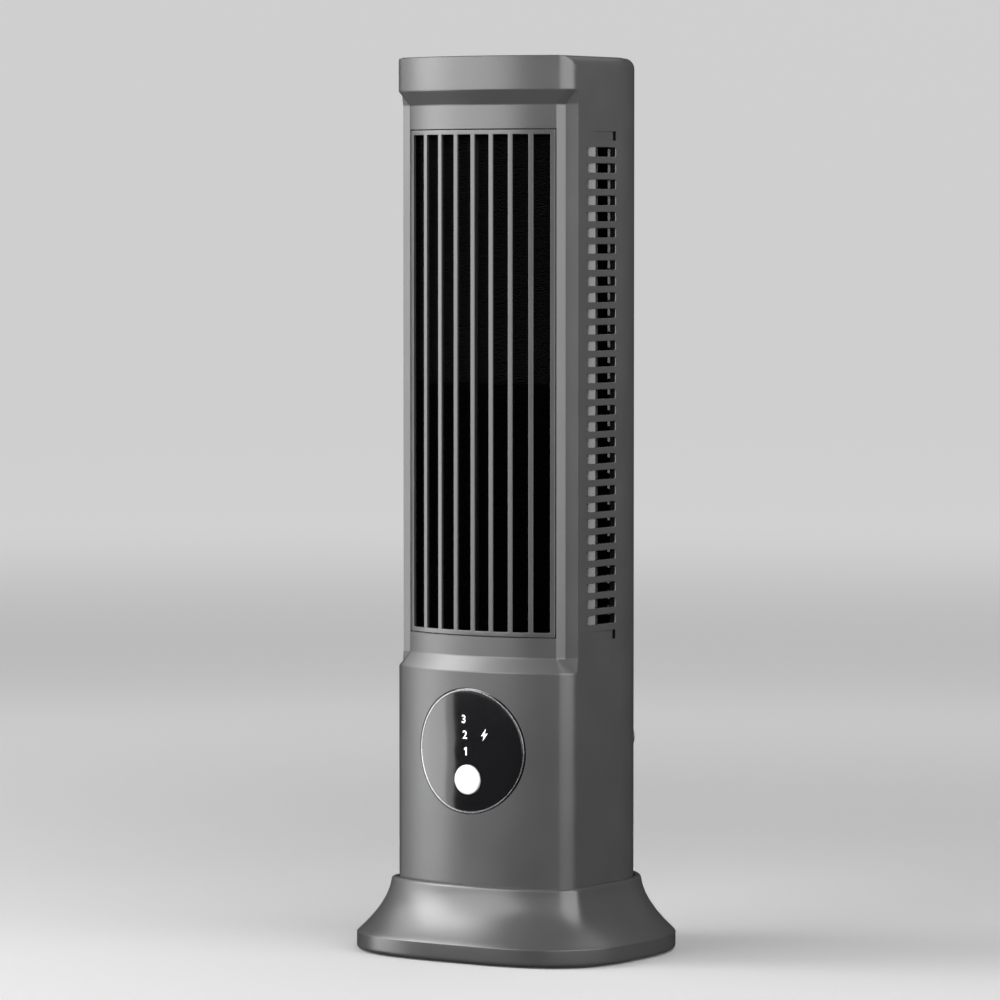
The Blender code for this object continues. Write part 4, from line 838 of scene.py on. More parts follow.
gap = math.degrees(FIT / REAR_R)
turns = [COVER_FROM + gap, (COVER_FROM + COVER_SLOT_FROM) / 2]
slot_turns = [COVER_SLOT_FROM + (COVER_SLOT_TO - COVER_SLOT_FROM) * i / COVER_SLOT_STEPS
              for i in range(COVER_SLOT_STEPS + 1)]
columns = [rear_pair(turn) for turn in turns + slot_turns + COVER_MIDDLE_TURNS]
columns += [tuple((-x, y) for x, y in pair) for pair in reversed(columns[:-1])]
heights = [FIELD_Z0 + FIT]
for middle in reversed(slot_heights[1:-1]):
    heights += [middle - SLOT_HEIGHT / 2, middle + SLOT_HEIGHT / 2]
heights.append(FIELD_Z1 - FIT)
holes = set()
last_cell = len(columns) - 2
for row in range(1, len(heights) - 1, 2):
    for cell in range(len(turns), len(turns) + COVER_SLOT_STEPS):
        holes |= {(cell, row), (last_cell - cell, row)}
bm = bmesh.new()
add_panel(bm, columns, heights, holes)
cover = make_piece("back_cover", bm, "graphite_rear", rear_finish, painted_shade_finish, node="rear_cover")
soften(cover, COVER_EASE)
print("cover slots:", SLOT_COUNT * 2)

# %% [markdown]
# ### Screws
# Pan-head screws with a cross recess hold the cover and the foot's closing plate. A screw is a
# turned profile, and the recess is two crossed wedges cut from the head. All eight are the same
# shape, so one function makes a screw at a place and facing a direction, and a loop asks the
# working model where.

# %% One screw, made and placed
HEAD_R = 2.7 * MM
SCREW_R = 1.3 * MM
RECESS_TURN = 20
COVER_SCREW_LENGTH = 9.3 * MM
BACKWARDS = Vector((0, 1, 0))


def turned(bm, profile, sides, place):
    """A solid turned from (radius, distance) pairs, carried to its place by a matrix."""
    lofted(bm, [[place @ Vector((x, y, along)) for x, y in circle(0, 0, radius, sides)]
                for radius, along in profile])


def facing(node, direction):
    """A matrix that stands a part's +Z along a direction, on the end of a CAD part's box."""
    low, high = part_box(node)
    middle = (low + high) / 2
    reach = Vector((high - low)).dot(Vector([abs(c) for c in direction])) / 2
    turn = direction.to_track_quat("Z", "Y").to_matrix().to_4x4()
    return Matrix.Translation(middle + direction * reach) @ turn


def make_screw(name, node, direction, length):
    """The head's top is at the end of the box; the shank runs back from it."""
    place = facing(node, direction)
    bm = bmesh.new()
    turned(bm, ((HEAD_R * 0.55, 0.0), (HEAD_R * 0.85, -0.12 * MM), (HEAD_R, -0.5 * MM),
                (HEAD_R, -1.3 * MM), (SCREW_R, -1.31 * MM), (SCREW_R, -length + 0.8 * MM),
                (0.4 * SCREW_R, -length)), 32, place)
    screw = make_piece(name, bm, "screw_steel", screw_finish, node=node)
    wide, thin, deep, above = 1.45 * MM, 0.3 * MM, -0.85 * MM, 0.3 * MM
    top = [(wide, -thin), (wide, thin), (-wide, thin), (-wide, -thin)]
    bottom = [(x * 0.45, y * 0.8) for x, y in top]
    for turn in (0, 90):
        spin = place @ Matrix.Rotation(math.radians(turn + RECESS_TURN), 4, "Z")
        carve(screw, [[spin @ Vector((x, y, z)) for x, y in shape]
                      for shape, z in ((bottom, deep), (top, above))])
    shade(screw)


for i in range(1, 5):
    make_screw("cover_fixing_%d" % i, "cover_screw_%d" % i, BACKWARDS, COVER_SCREW_LENGTH)

# %% Sink the cover's screw wells
bm = bmesh.new()
for i in range(1, 5):
    place = facing("cover_screw_%d" % i, BACKWARDS)
    turned(bm, ((SCREW_R + FIT, -6 * MM), (SCREW_R + FIT, -1.6 * MM), (HEAD_R + FIT, -1.6 * MM),
                (HEAD_R + FIT, 4 * MM)), 40, place)
cut(cover, bm)
shade(cover)

# %% [markdown]
# ## The outlet grille
# The grille is a curved insert with seven upright bars. It sits in the window with a hair-line gap,
# so it has to be its own piece. The same panel helper makes it: each opening is a run of missing
# cells and each bar a column of solid ones. The bars taper towards the back, as they must to leave
# the tool, and a bevel rounds their front edges so that each one carries its own thin highlight.

# %% Build the grille
BAR_COUNT = 7
BAR_WIDTH = 1.7 * MM
BAR_TAPER = 0.25 * MM
OPENING_X = 27.2 * MM
BAR_PITCH = (2 * OPENING_X + BAR_WIDTH) / (BAR_COUNT + 1)
GRILLE_THICK = 1.2 * MM
OPENING_MARGIN = 1.65 * MM
OPENING_STEPS = 4
BAR_EASE = 0.25 * MM


def grille_pair(x, taper=0.0):
    """Front and back point of the grille at x, square to its face; taper shifts the back point."""
    middle = Vector((0.0, FRONT_Y + FRONT_R))
    front = Vector((x, front_y(x, RECESS)))
    inwards = (middle - front).normalized()
    along = Vector((inwards.y, -inwards.x))
    return tuple(front), tuple(front + inwards * GRILLE_THICK + along * taper)


edges = [(-(WINDOW_X - SNUG), 0.0), (-OPENING_X, -BAR_TAPER)]
for i in range(BAR_COUNT):
    middle = BAR_PITCH * (i - (BAR_COUNT - 1) / 2)
    edges += [(middle - BAR_WIDTH / 2, BAR_TAPER), (middle + BAR_WIDTH / 2, -BAR_TAPER)]
edges += [(OPENING_X, BAR_TAPER), (WINDOW_X - SNUG, 0.0)]
columns, open_cells = [], []
for i, (x, taper) in enumerate(edges):
    columns.append(grille_pair(x, taper))
    if i % 2 == 1 and i < len(edges) - 1:
        x_next, taper_next = edges[i + 1]
        for step in range(1, OPENING_STEPS):
            t = step / OPENING_STEPS
            open_cells.append(len(columns) - 1)
            columns.append(grille_pair(x + (x_next - x) * t, taper + (taper_next - taper) * t))
        open_cells.append(len(columns) - 1)
z0, z1 = WINDOW_Z0 + SNUG, WINDOW_Z1 - SNUG
heights = [z0, z0 + OPENING_MARGIN, z1 - OPENING_MARGIN, z1]
bm = bmesh.new()
add_panel(bm, columns, heights, {(cell, 1) for cell in open_cells})
grille = make_piece("outlet_grille", bm, "graphite_grille", grille_finish, painted_shade_finish,
                    node="grille")
soften(grille, BAR_EASE, 3)
shade(grille)

# %% [markdown]
# ## The air path
# Two upright guide walls lead the air round the wheel to the outlet. Each one starts beside the
# grille, swings out behind the front third of the side slots, where it closes off the view inside,
# and curls in towards the wheel. Bending a thick plate with a modifier would wander off the working
# model, so a smooth line is drawn through the same points and given its thickness on both sides.

# %% Guide walls
def smooth_line(points, steps=6):
    """A smooth curve through points, by the usual four-point rule."""
    ends = [points[0] * 2 - points[1]] + points + [points[-1] * 2 - points[-2]]
    line = []
    for a, b, c, d in zip(ends, ends[1:], ends[2:], ends[3:]):
        for i in range(steps):
            t = i / steps
            line.append(((b * 2) + (c - a) * t + (a * 2 - b * 5 + c * 4 - d) * t * t
                         + (b * 3 - a - c * 3 + d) * t ** 3) / 2)
    return line + [points[-1]]


def ribbon(line, half):
    """A closed outline of even thickness along a line, round at both ends."""
    left, right = [], []
    for i, point in enumerate(line):
        ahead = (line[min(i + 1, len(line) - 1)] - line[max(i - 1, 0)]).normalized()
        side = Vector((-ahead.y, ahead.x)) * half
        left.append(point + side)
        right.append(point - side)
    return left + list(reversed(right))


wall_low, wall_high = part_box("duct_wall_right")
GUIDE_HALF = 0.58 * MM
out_x = HALF_WIDTH - WALL - 1.1 * MM
in_x = WINDOW_X - 1.6 * MM
wall_line = [Vector((x, y)) for x, y in (
    (in_x, CORNER_Y - 1.0 * MM), (in_x, CORNER_Y + 3.6 * MM),
    (in_x + 2.4 * MM, CORNER_Y + 5.6 * MM), (out_x, CORNER_Y + 8.2 * MM),
    (out_x, -4.2 * MM), (out_x - 0.8 * MM, -2.6 * MM),
    (out_x - 2.6 * MM, -1.9 * MM), (out_x - 6.0 * MM, -3.4 * MM), (out_x - 10.5 * MM, -5.4 * MM))]
outline = ribbon(smooth_line(wall_line), GUIDE_HALF)
for hand, side in (("right", 1), ("left", -1)):
    rings = [[(side * p.x, p.y, z) for p in outline] for z in (wall_low.z, wall_high.z)]
    shade(solid_piece("guide_wall_" + hand, rings, "duct_plastic", duct_finish,
                      "duct_wall_" + hand))

# %% [markdown]
# ## The wheel
# A cross-flow wheel is a cage: a ring of thin curved blades held by a disc at each end and one in
# the middle. It turns on the motor's shaft below and a pin above. Each blade is a short arc that
# leans with the spin. The blades and discs are drawn as closed shapes and welded into one with a
# Boolean, so that no hidden faces are left where they meet, and the whole wheel rides on its own
# body.

# %% Build the wheel
wheel_low, wheel_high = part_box("impeller")
SPIN_Y = (wheel_low.y + wheel_high.y) / 2
WHEEL_R = (wheel_high.x - wheel_low.x) / 2
DISC_THICK = 2.0 * MM
HUB_BORE_R = 5.6 * MM
SHAFT_R = 1.5 * MM
MID_BORE_R = 12 * MM
BLADE_CHORD = 4.6 * MM
BLADE_SET = 0.8 * MM
BLADE_BITE = 0.7 * MM
BLADE_COUNT = 20
BLADE_STEPS = 8
MID_DISC_Z = 184.0 * MM
DISC_SIDES = 96


def disc_rings(z, bore):
    """A disc with eased rims, as a closed ring of (radius, height) pairs."""
    ease = 0.3 * MM
    return [(bore, z), (WHEEL_R - ease, z), (WHEEL_R, z + ease), (WHEEL_R, z + DISC_THICK - ease),
            (WHEEL_R - ease, z + DISC_THICK), (bore, z + DISC_THICK)]


def blade_outline(turn):
    """One blade in plan: a thin curved sliver, thicker at its root, leaning with the spin."""
    outer, inner = [], []
    for i in range(BLADE_STEPS + 1):
        t = i / BLADE_STEPS
        radius = WHEEL_R - BLADE_SET - BLADE_CHORD * t
        swing = turn + 0.26 * t * t + 0.06 * t
        half = (0.28 + 0.17 * math.sin(math.pi * min(1.0, t + 0.15))) * MM / radius
        outer.append((radius, swing + half))
        inner.append((radius, swing - half))
    return [(r * math.cos(a), SPIN_Y + r * math.sin(a)) for r, a in outer + list(reversed(inner))]


bm = bmesh.new()
for z, bore in ((wheel_low.z, HUB_BORE_R), (MID_DISC_Z, MID_BORE_R),
                (wheel_high.z - DISC_THICK, SHAFT_R + 0.05 * MM)):
    tube(bm, [[(x, y, h) for x, y in circle(0, SPIN_Y, r, DISC_SIDES)]
              for r, h in disc_rings(z, bore)])
wheel = make_piece("fan_wheel", bm, "impeller_black", black_wheel_shade_finish, node="impeller",
                   body="impeller_set")
bm = bmesh.new()
for i in range(BLADE_COUNT):
    outline = blade_outline(2 * math.pi * i / BLADE_COUNT)
    lofted(bm, [[(x, y, z) for x, y in outline]
                for z in (wheel_low.z + BLADE_BITE, wheel_high.z - BLADE_BITE)])
cut(wheel, bm, "UNION")
shade(wheel)

# %% [markdown]
# ## The control window
# A glossy black lens sits in a thin bright ring, both bent to the curve of the front. The ring is a
# turned profile whose points are pushed back onto the curve, and so is the lens, which also has a
# round hole for the button. Behind the lens each mark has its own light guide and lamp.

# %% Ring and lens on the curved front
PROUD = 0.2 * MM
BEZEL_WIDTH = 0.65 * MM
BEZEL_DEPTH = 3.4 * MM
BEZEL_LIP = 1.8 * MM
RING_GAP = 0.26 * MM
RING_GAP_DEPTH = 1.4 * MM
LENS_THICK = 1.8 * MM
PANEL_SIDES = 128
button_low, button_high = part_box("power_button")
BUTTON_Z = (button_low.z + button_high.z) / 2
BUTTON_R = (button_high.x - button_low.x) / 2


def panel_ring(radius, depth):
    """A circle about the control window's middle, laid on the curved front at a depth."""
    return [(x, front_y(x) + depth - PROUD, PANEL_Z + z)
            for x, z in circle(0, 0, radius, PANEL_SIDES)]


seat_r = BEZEL_R - BEZEL_WIDTH
step_in = LENS_THICK + FIT
lip_r, gap_r = seat_r - BEZEL_LIP, BEZEL_R - RING_GAP
ring_profile = (
    (seat_r, 0.12 * MM), (seat_r + 0.06 * MM, 0.05 * MM), (gap_r - 0.06 * MM, 0.05 * MM),
    (gap_r, 0.15 * MM), (gap_r, RING_GAP_DEPTH), (BEZEL_R, RING_GAP_DEPTH), (BEZEL_R, BEZEL_DEPTH),
    (lip_r, BEZEL_DEPTH), (lip_r, step_in), (seat_r, step_in))
shade(solid_piece("window_ring", [panel_ring(*pair) for pair in ring_profile], "bright_ring",
                  ring_finish, "panel_ring", build=tube))

lens_r = seat_r - SNUG
lens_rings = [(lens_r * share, 0.0) for share in (0.1, 0.3, 0.5, 0.7, 0.85, 0.96)]
lens_rings += [(lens_r - 0.08 * MM, 0.02 * MM), (lens_r, 0.1 * MM), (lens_r, LENS_THICK)]
lens_rings += [(lens_r * share, LENS_THICK) for share in (0.7, 0.4, 0.1)]
lens = solid_piece("window_lens", [panel_ring(*pair) for pair in lens_rings], "lens_black",
                   lens_finish, "panel_lens")
carve(lens, [[(x, FRONT_Y + y, BUTTON_Z + z) for x, z in circle(0, 0, BUTTON_R + FIT, 64)]
             for y in (-8 * MM, 8 * MM)])
shade(lens)

# %% [markdown]
# ### The marks
# Three numerals for the speeds and a bolt for charging are printed on the lens. Type in Blender is
# a curve, so the 2 and the 3 are set as text, filled flat and turned into a mesh, and then every
# point is laid on the lens. The 1 and the bolt have only straight strokes, so a short outline draws
# each of them. All stand a few hundredths of a millimetre proud, as ink does.

# %% Lay flat shapes on the lens
INK = 0.03 * MM
TYPE_WEIGHT = 0.012


def lay_on_lens(bm, name):
    """Carries a flat shape drawn in x and z onto the lens and gives it the thickness of ink."""
    bm.normal_update()
    bmesh.ops.triangulate(bm, faces=bm.faces)
    made = bmesh.ops.extrude_face_region(bm, geom=bm.faces)
    top = {v for v in made["geom"] if isinstance(v, bmesh.types.BMVert)}
    for v in bm.verts:
        v.co.y = front_y(v.co.x) - PROUD - (INK if v in top else -INK)
    mark = make_piece(name, bm, "lamp_white", mark_ink)
    mark.data.shade_flat()


def numeral(text, x, z, size):
    """A numeral whose middle is at x and z."""
    curve = bpy.data.curves.new("type", "FONT")
    curve.body, curve.size = text, size
    curve.offset = size * TYPE_WEIGHT
    letter = bpy.data.objects.new("type", curve)
    bpy.context.scene.collection.objects.link(letter)
    bpy.context.view_layer.update()
    shape = letter.evaluated_get(bpy.context.evaluated_depsgraph_get())
    bm = bmesh.new()
    bm.from_mesh(bpy.data.meshes.new_from_object(shape))
    bpy.data.objects.remove(letter)
    bmesh.ops.remove_doubles(bm, verts=bm.verts, dist=size / 500)
    xs, ys = [v.co.x for v in bm.verts], [v.co.y for v in bm.verts]
    middle_x, middle_y = (min(xs) + max(xs)) / 2, (min(ys) + max(ys)) / 2
    for v in bm.verts:
        v.co = Vector((x + v.co.x - middle_x, 0.0, z + v.co.y - middle_y))
    lay_on_lens(bm, "numeral_" + text)


ONE = ((-0.05, 0.5), (0.13, 0.5), (0.13, -0.5), (-0.06, -0.5), (-0.06, 0.24), (-0.25, 0.13),
       (-0.25, 0.30))
BOLT = ((0.22, 0.5), (-0.5, -0.1), (-0.06, -0.06), (-0.28, -0.5), (0.5, 0.14), (0.04, 0.08))


def outlined(name, shape, x, z, width, height):
    """A mark drawn with straight strokes, from an outline one unit wide and high."""
    bm = bmesh.new()
    bm.faces.new([bm.verts.new((x + width * a, 0.0, z + height * b)) for a, b in shape])
    lay_on_lens(bm, name)


def middle_of(node):
    low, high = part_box(node)
    return (low.x + high.x) / 2, (low.z + high.z) / 2


for text in ("2", "3"):
    numeral(text, *middle_of("guide_" + text), 3.8 * MM)
outlined("numeral_1", ONE, *middle_of("guide_1"), 2.7 * MM, 2.75 * MM)
outlined("charge_bolt", BOLT, *middle_of("guide_charge"), 2.5 * MM, 4.1 * MM)
print("marks on the lens: 4")

# %% [markdown]
# ### The button
# The power button is a round white cap that stands a little proud of the lens and sinks under a
# finger. It is turned from one profile: a faint crown, a soft edge and a straight skirt. It rides
# on its own body, so it moves when the joint does.

# %% Build the button
EDGE = 0.45 * MM
CROWN = 0.06 * MM
profile = [(0.6 * MM, 0.0)]
for share in (0.35, 0.6, 0.8):
    profile.append(((BUTTON_R - EDGE) * share, CROWN * share ** 2))
for i in range(6):
    turn = math.pi / 2 * i / 5
    profile.append((BUTTON_R - EDGE + EDGE * math.sin(turn), CROWN + EDGE * (1 - math.cos(turn))))
profile.append((BUTTON_R, button_high.y - button_low.y))
rings = [[(x, button_low.y + depth, BUTTON_Z + z) for x, z in circle(0, 0, radius, 64)]
         for radius, depth in profile]
shade(solid_piece("power_cap", rings, "button_white", button_finish, "power_button", "button"))

# %% [markdown]
# ## The foot
# The foot starts as a collar that follows the column's plan and spreads to a wide soft square. Both
# shapes are known as a distance from the middle in every direction, so each level of the foot is a
# mix of the two. A power curve makes it flare late, the collar's lip is rounded, and the rim is a
# straight band below a fine crease. The inside is hollow with a deck that carries the column.

# %% Foot measurements
FOOT_HALF_X = 51 * MM
FOOT_HALF_Y = 45.7 * MM
FOOT_MID_Y = -3.0 * MM
FOOT_POWER_FRONT = 3.15
FOOT_POWER_REAR = 2.53
COLLAR_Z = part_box("foot_shell")[1].z
COLLAR_OUT = 2.6 * MM
FOOT_WALL = 2.4 * MM
RIM_Z0 = 0.8 * MM
RIM_Z1 = 6.3 * MM
DECK_TOP = 19.2 * MM
DECK_THICK = 2.2 * MM
DECK_WIDTH = 11.0 * MM
FLARE_POWER = 1.8
LIP = 1.1 * MM
FOOT_SIDES = 192
KEEP_IN = 0.02 * MM


def reach(loop, angle):
    """Distance from the middle to a closed loop in a direction."""
    ray = Vector((math.cos(angle), math.sin(angle)))
    best = 0.0
    for i, point in enumerate(loop):
        a = Vector(loop[i - 1])
        edge = Vector(point) - a
        cross = ray.x * edge.y - ray.y * edge.x
        if abs(cross) < 1e-12:
            continue
        if -1e-6 <= (a.x * ray.y - a.y * ray.x) / cross <= 1 + 1e-6:
            best = max(best, (a.x * edge.y - a.y * edge.x) / cross)
    return best


def rim_reach(angle):
    """Distance to the rim: a soft square that is rounder at the back."""
    low, high = 0.0, 2 * FOOT_HALF_X
    for _ in range(40):
        mid = (low + high) / 2
        x, y = mid * math.cos(angle), mid * math.sin(angle) - FOOT_MID_Y
        power = FOOT_POWER_FRONT if y < 0 else FOOT_POWER_REAR
        half_y = FOOT_HALF_Y + FOOT_MID_Y if y < 0 else FOOT_HALF_Y - FOOT_MID_Y
        inside = abs(x / FOOT_HALF_X) ** power + abs(y / half_y) ** power < 1
        low, high = (mid, high) if inside else (low, mid)
    return low - KEEP_IN


angles = [2 * math.pi * (i + 0.5) / FOOT_SIDES for i in range(FOOT_SIDES)]
column_reach = [reach(plan(), a) for a in angles]
rim_reaches = [rim_reach(a) for a in angles]
print("rim in mm:", [round(end(rim_reaches) / MM, 1) for end in (min, max)])


# %% Build the foot
def foot_ring(spread, grow, z):
    """A level of the foot: spread 0 is the collar and 1 the rim."""
    ring = []
    for angle, column, rim in zip(angles, column_reach, rim_reaches):
        collar = column + COLLAR_OUT
        r = collar + spread * (rim - collar) + grow
        ring.append((r * math.cos(angle), r * math.sin(angle), z))
    return ring


def flare(z):
    return max(0.0, (COLLAR_Z - z) / (COLLAR_Z - RIM_Z1)) ** FLARE_POWER


def foot_levels():
    """(spread, growth, height) up the outside, over the collar's lip and down the inside."""
    levels = [(0.7, 0.0, RIM_Z0), (0.955, 0.0, RIM_Z0), (0.98, 0.0, RIM_Z0 + 0.15 * MM),
              (0.994, 0.0, RIM_Z0 + 0.5 * MM), (1.0, 0.0, RIM_Z0 + 1.1 * MM),
              (1.0, 0.0, RIM_Z1 - 0.25 * MM)]
    levels.append((0.9985, -0.08 * MM, RIM_Z1 - 0.02 * MM))
    steps = 22
    for i in range(1, steps):
        z = RIM_Z1 + (COLLAR_Z - LIP - RIM_Z1) * i / steps
        levels.append((flare(z), 0.0, z))
    for i in range(7):
        turn = math.pi / 2 * i / 6
        z = COLLAR_Z - LIP + LIP * math.sin(turn)
        levels.append((flare(z), -LIP * (1 - math.cos(turn)), z))
    inner, deck_in = FIT + SNUG - COLLAR_OUT, -COLLAR_OUT - DECK_WIDTH
    deck_low = DECK_TOP - DECK_THICK
    levels += [(0.0, inner + 0.15 * MM, COLLAR_Z - 0.02 * MM), (0.0, inner, COLLAR_Z - 0.4 * MM),
               (0.0, inner, DECK_TOP), (0.0, deck_in, DECK_TOP), (0.0, deck_in, deck_low),
               (flare(deck_low), -FOOT_WALL, deck_low)]
    for i in range(7, 0, -1):
        z = RIM_Z1 - MM + (deck_low - RIM_Z1) * i / 8
        levels.append((flare(z + MM), -FOOT_WALL, z))
    levels += [(1.0, -FOOT_WALL, RIM_Z1 - 1.4 * MM), (1.0, -FOOT_WALL, RIM_Z0 + 2.4 * MM),
               (0.72, -FOOT_WALL, RIM_Z0)]
    return levels


shade(solid_piece("foot_skirt", [foot_ring(*level) for level in foot_levels()], "graphite_foot",
                  foot_finish, "foot_shell", build=tube), 25.0)

# %% [markdown]
# ### Under the foot
# Four rubber pads keep the fan from sliding and four screws hold the closing plate. Nobody looks
# here often, but a pad with a soft edge and a shallow dish grips the table, and it is what the fan
# stands on.

# %% Pads and plate screws
PAD_EDGE = 0.5 * MM
PAD_DISH = 0.25 * MM
FOOT_SCREW_LENGTH = 10.3 * MM
for i in range(1, 5):
    low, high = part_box("foot_pad_%d" % i)
    middle, radius = (low + high) / 2, (high.x - low.x) / 2
    profile = [(radius * 0.62, PAD_DISH), (radius * 0.7, 0.0), (radius - PAD_EDGE, 0.0),
               (radius - 0.12 * MM, 0.16 * MM), (radius, PAD_EDGE), (radius, high.z)]
    bm = bmesh.new()
    turned(bm, profile, 64, Matrix.Translation((middle.x, middle.y, 0.0)))
    shade(make_piece("rubber_pad_%d" % i, bm, "rubber_black", rubber_finish,
                     node="foot_pad_%d" % i))

for i in range(1, 5):
    make_screw("foot_fixing_%d" % i, "foot_screw_%d" % i, Vector((0, 0, -1)), FOOT_SCREW_LENGTH)

# %% [markdown]
# ## Finishes inside
# The working parts behind the panels keep their plain shapes, but each one still gets the material
# that it is made of. Solder mask is a green varnish over copper tracks, battery cells wear a shrunk
# sleeve, wires are soft vinyl, and the motor's can is drawn steel with marks running round it.

# %% Board, cells, wires and light guides
def board_finish():
    """Green varnish with the faint relief of copper tracks below it."""
    finish, tree, shader = start_finish("green_board")
    place = add_node(tree, "ShaderNodeTexCoord")
    tracks = add_node(tree, "ShaderNodeTexVoronoi", feature="DISTANCE_TO_EDGE", scale=420.0)
    tree.links.new(place.outputs["Object"], tracks.inputs["Vector"])
    edge = between(tree, tracks.outputs["Distance"], 0.0, 1.0, 0.0, 0.12)
    blend = add_node(tree, "ShaderNodeMix", data_type="RGBA")
    set_sockets(blend, {"A": (0.05, 0.2, 0.08, 1.0), "B": (0.015, 0.1, 0.04, 1.0)})
    tree.links.new(edge, blend.inputs["Factor"])
    tree.links.new(blend.outputs["Result"], shader.inputs["Base Color"])
    shader.inputs["Roughness"].default_value = 0.3
    bump(tree, shader, edge, 0.02 * MM)
    return finish


def guide_finish():
    finish, tree, shader = start_finish("clear_light_guide")
    set_sockets(shader, {"Transmission Weight": 0.85, "IOR": 1.49})
    haze = noise(tree, 1.5 * MM, 3.0)
    colour_and_gloss(tree, shader, haze, (0.8, 0.82, 0.83), 0.05, 0.08, 0.2)
    bump(tree, shader, haze, 0.005 * MM)
    return finish


green_board = board_finish()
clear_guide = guide_finish()
nylon = moulded("black_nylon", (0.025, 0.025, 0.025), 0.6, 0.5 * MM, 0.01 * MM)
cell_sleeve = moulded("blue_cell_sleeve", (0.05, 0.16, 0.4), 0.3, 3 * MM, 0.03 * MM, 0.08)
wire_vinyl = moulded("red_wire_vinyl", (0.45, 0.02, 0.02), 0.4, 0.8 * MM, 0.01 * MM, 0.1)
lamp_face = moulded("lamp_face", (0.8, 0.8, 0.74), 0.3, 0.6 * MM, 0.005 * MM)
motor_steel = metal("drawn_motor_steel", (0.5, 0.5, 0.51), 0.33, (1.0, 1.0, 12.0))
ballast_steel = metal("rough_ballast_steel", (0.36, 0.36, 0.37), 0.5, depth=0.02 * MM)
rotor_steel = metal("rotor_laminations", (0.45, 0.3, 0.2), 0.4, (1.0, 1.0, 25.0))

# %% Give every inner part its finish
inner_finishes = {
    "control_board": green_board, "port_board": green_board, "push_switch": nylon,
    "ballast": ballast_steel, "battery_cell": cell_sleeve, "battery_cradle": nylon,
    "battery_lead": wire_vinyl, "motor_lead": wire_vinyl, "board_screw": screw_finish,
    "column_screw": screw_finish, "motor_screw": screw_finish, "chassis_plate": nylon,
    "duct_ceiling": duct_finish, "duct_floor": duct_finish, "foot_plate": plate_finish,
    "guide": clear_guide, "lamp": lamp_face, "hub_bush": rubber_finish, "top_bearing": nylon,
    "motor_can": motor_steel, "motor_cap": nylon, "rotor": rotor_steel, "top_pin": socket_finish,
}
dressed = 0
for node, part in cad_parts.items():
    if part.hide_render:
        continue
    family = next(key for key in inner_finishes if node.startswith(key))
    for place in part.material_slots:
        place.material = inner_finishes[family]
    dressed += 1
print("inner parts dressed:", dressed)

# %% [markdown]
# ## Stage and light
# A pale floor runs out to a pale horizon. The plastic is dark and silky, so what it mirrors matters
# more than how much light falls on it. Two upright panels overlap on the left, so their shared
# light steps down softly across the curved front and in the lens. Two more above them reach the
# slopes and the foot. A bright panel nearly in front carries the light on along the curve, and one
# on the right draws the thin highlight down the tight corner. The floor is kept out of the fan's
# reflections, as a photographer would with black card, and a weak light from above and behind lifts
# the roof and the back.

# %% Floor
FLOOR_R = 9.0
FLOOR_GREY = (0.31, 0.31, 0.31, 1.0)
PROFILE = ((0.4, 0.0), (1.2, 0.0), (4.0, 0.0), (7.0, 0.0), (8.2, 0.35), (8.8, 1.2), (FLOOR_R, 3.0),
           (FLOOR_R, 9.0))
TONES = ((0.25, 0.95, 0.02, 0.34), (0.9, 2.6, 0.0, 0.27))


def floor_finish():
    """A matt grey that gives off a little light of its own with distance, in two smooth steps."""
    finish, tree, shader = start_finish("pale_floor")
    place = add_node(tree, "ShaderNodeTexCoord")
    away = add_node(tree, "ShaderNodeVectorMath", operation="LENGTH")
    tree.links.new(place.outputs["Object"], away.inputs[0])
    tone = add_node(tree, "ShaderNodeMath", operation="ADD")
    for i, (start, end, low, high) in enumerate(TONES):
        fade = between(tree, away.outputs["Value"], low, high, start, end, "SMOOTHSTEP")
        tree.links.new(fade, tone.inputs[i])
    set_sockets(shader, {"Base Color": FLOOR_GREY, "Roughness": 0.9, "Emission Color": WHITE})
    tree.links.new(tone.outputs["Value"], shader.inputs["Emission Strength"])
    return finish


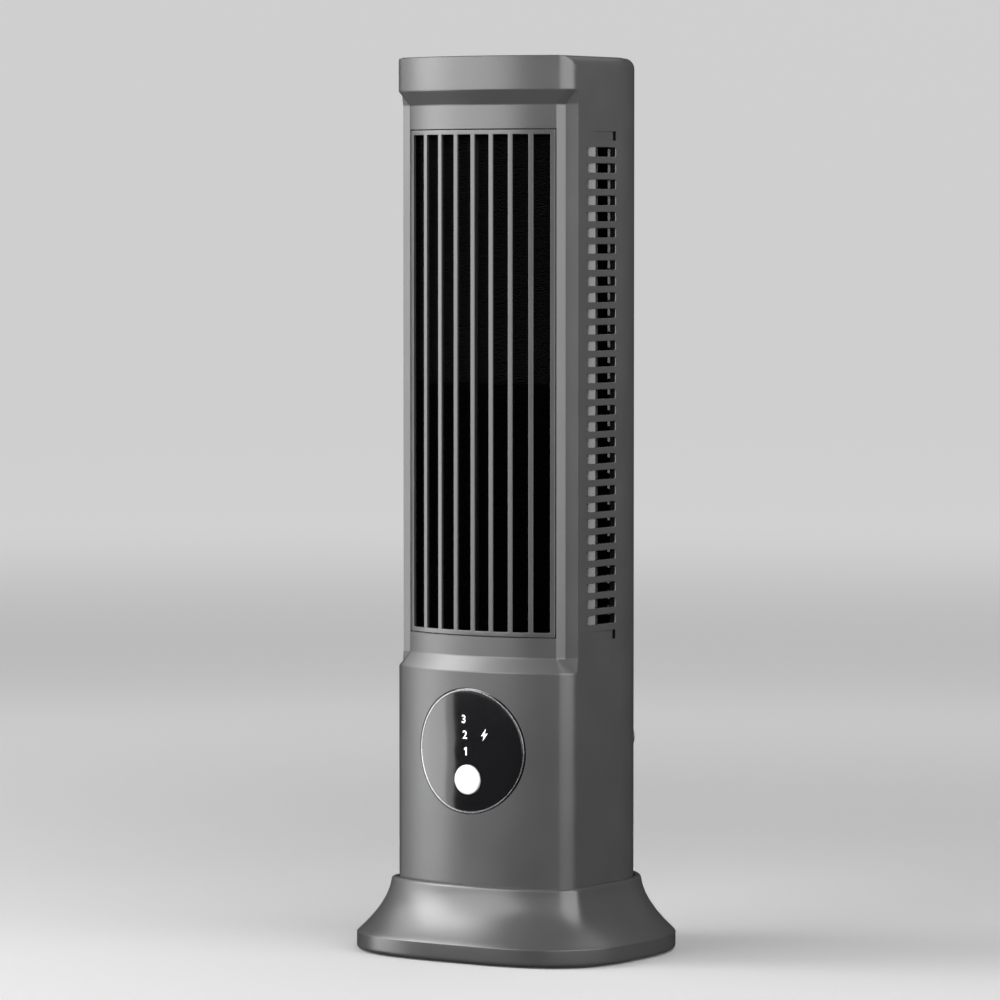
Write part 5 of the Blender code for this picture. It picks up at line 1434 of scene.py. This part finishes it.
bm = bmesh.new()
rings = new_rings(bm, [[(x, y, height) for x, y in circle(0, 0, radius, 96)]
                       for radius, height in PROFILE])
join_rings(bm, rings)
bm.faces.new(rings[0])
floor = to_object("floor", bm, floor_finish())
floor.data.shade_smooth()
floor.visible_glossy = False
floor.visible_diffuse = False
floor.visible_shadow = False


# %% Lights
def softbox(name, turn, tilt, distance, width, height, brightness, aim_z):
    """A flat panel of light facing the fan; brightness is how bright its face looks."""
    light = bpy.data.lights.new(name, "AREA")
    light.shape, light.size, light.size_y = "RECTANGLE", width, height
    light.energy = brightness * math.pi * width * height
    panel = bpy.data.objects.new(name, light)
    out = towards(math.radians(turn), math.radians(tilt))
    panel.location = Vector((0.0, 0.0, aim_z)) + out * distance
    panel.rotation_euler = (-out).to_track_quat("-Z", "Y").to_euler()
    panel.visible_camera = False
    bpy.context.scene.collection.objects.link(panel)
    print(name, "at", [round(c, 2) for c in panel.location])


softbox("left_panel", -59.5, 0.0, 0.80, 0.36, 1.10, 3.4, 0.40)
softbox("left_wide_panel", -56.5, 0.0, 0.81, 0.43, 1.10, 3.2, 0.40)
softbox("left_high_panel", -57.0, 8.0, 0.95, 0.50, 0.80, 4.6, 0.60)
softbox("left_top_panel", -70.0, 42.0, 0.90, 0.60, 0.45, 4.0, 0.05)
softbox("front_panel", -23.0, 0.0, 0.85, 0.55, 0.95, 6.4, 0.538)
softbox("right_panel", 70.0, 0.0, 0.62, 1.14, 1.00, 5.4, 0.53)
softbox("back_top_panel", 170.0, 58.0, 1.1, 0.9, 0.7, 1.6, 0.20)

world = bpy.data.worlds.new("studio")
world.use_nodes = True
world.node_tree.nodes["Background"].inputs["Color"].default_value = (0.022, 0.022, 0.022, 1.0)
bpy.context.scene.world = world

# %% [markdown]
# ## Measure and finish
# The fine meshes must not have grown past the working model, so the working model's box is written
# down.

# %% Write down the working model's box
print("CAD box in mm:", [round(c / MM, 2) for c in [*cad_low, *cad_high]])
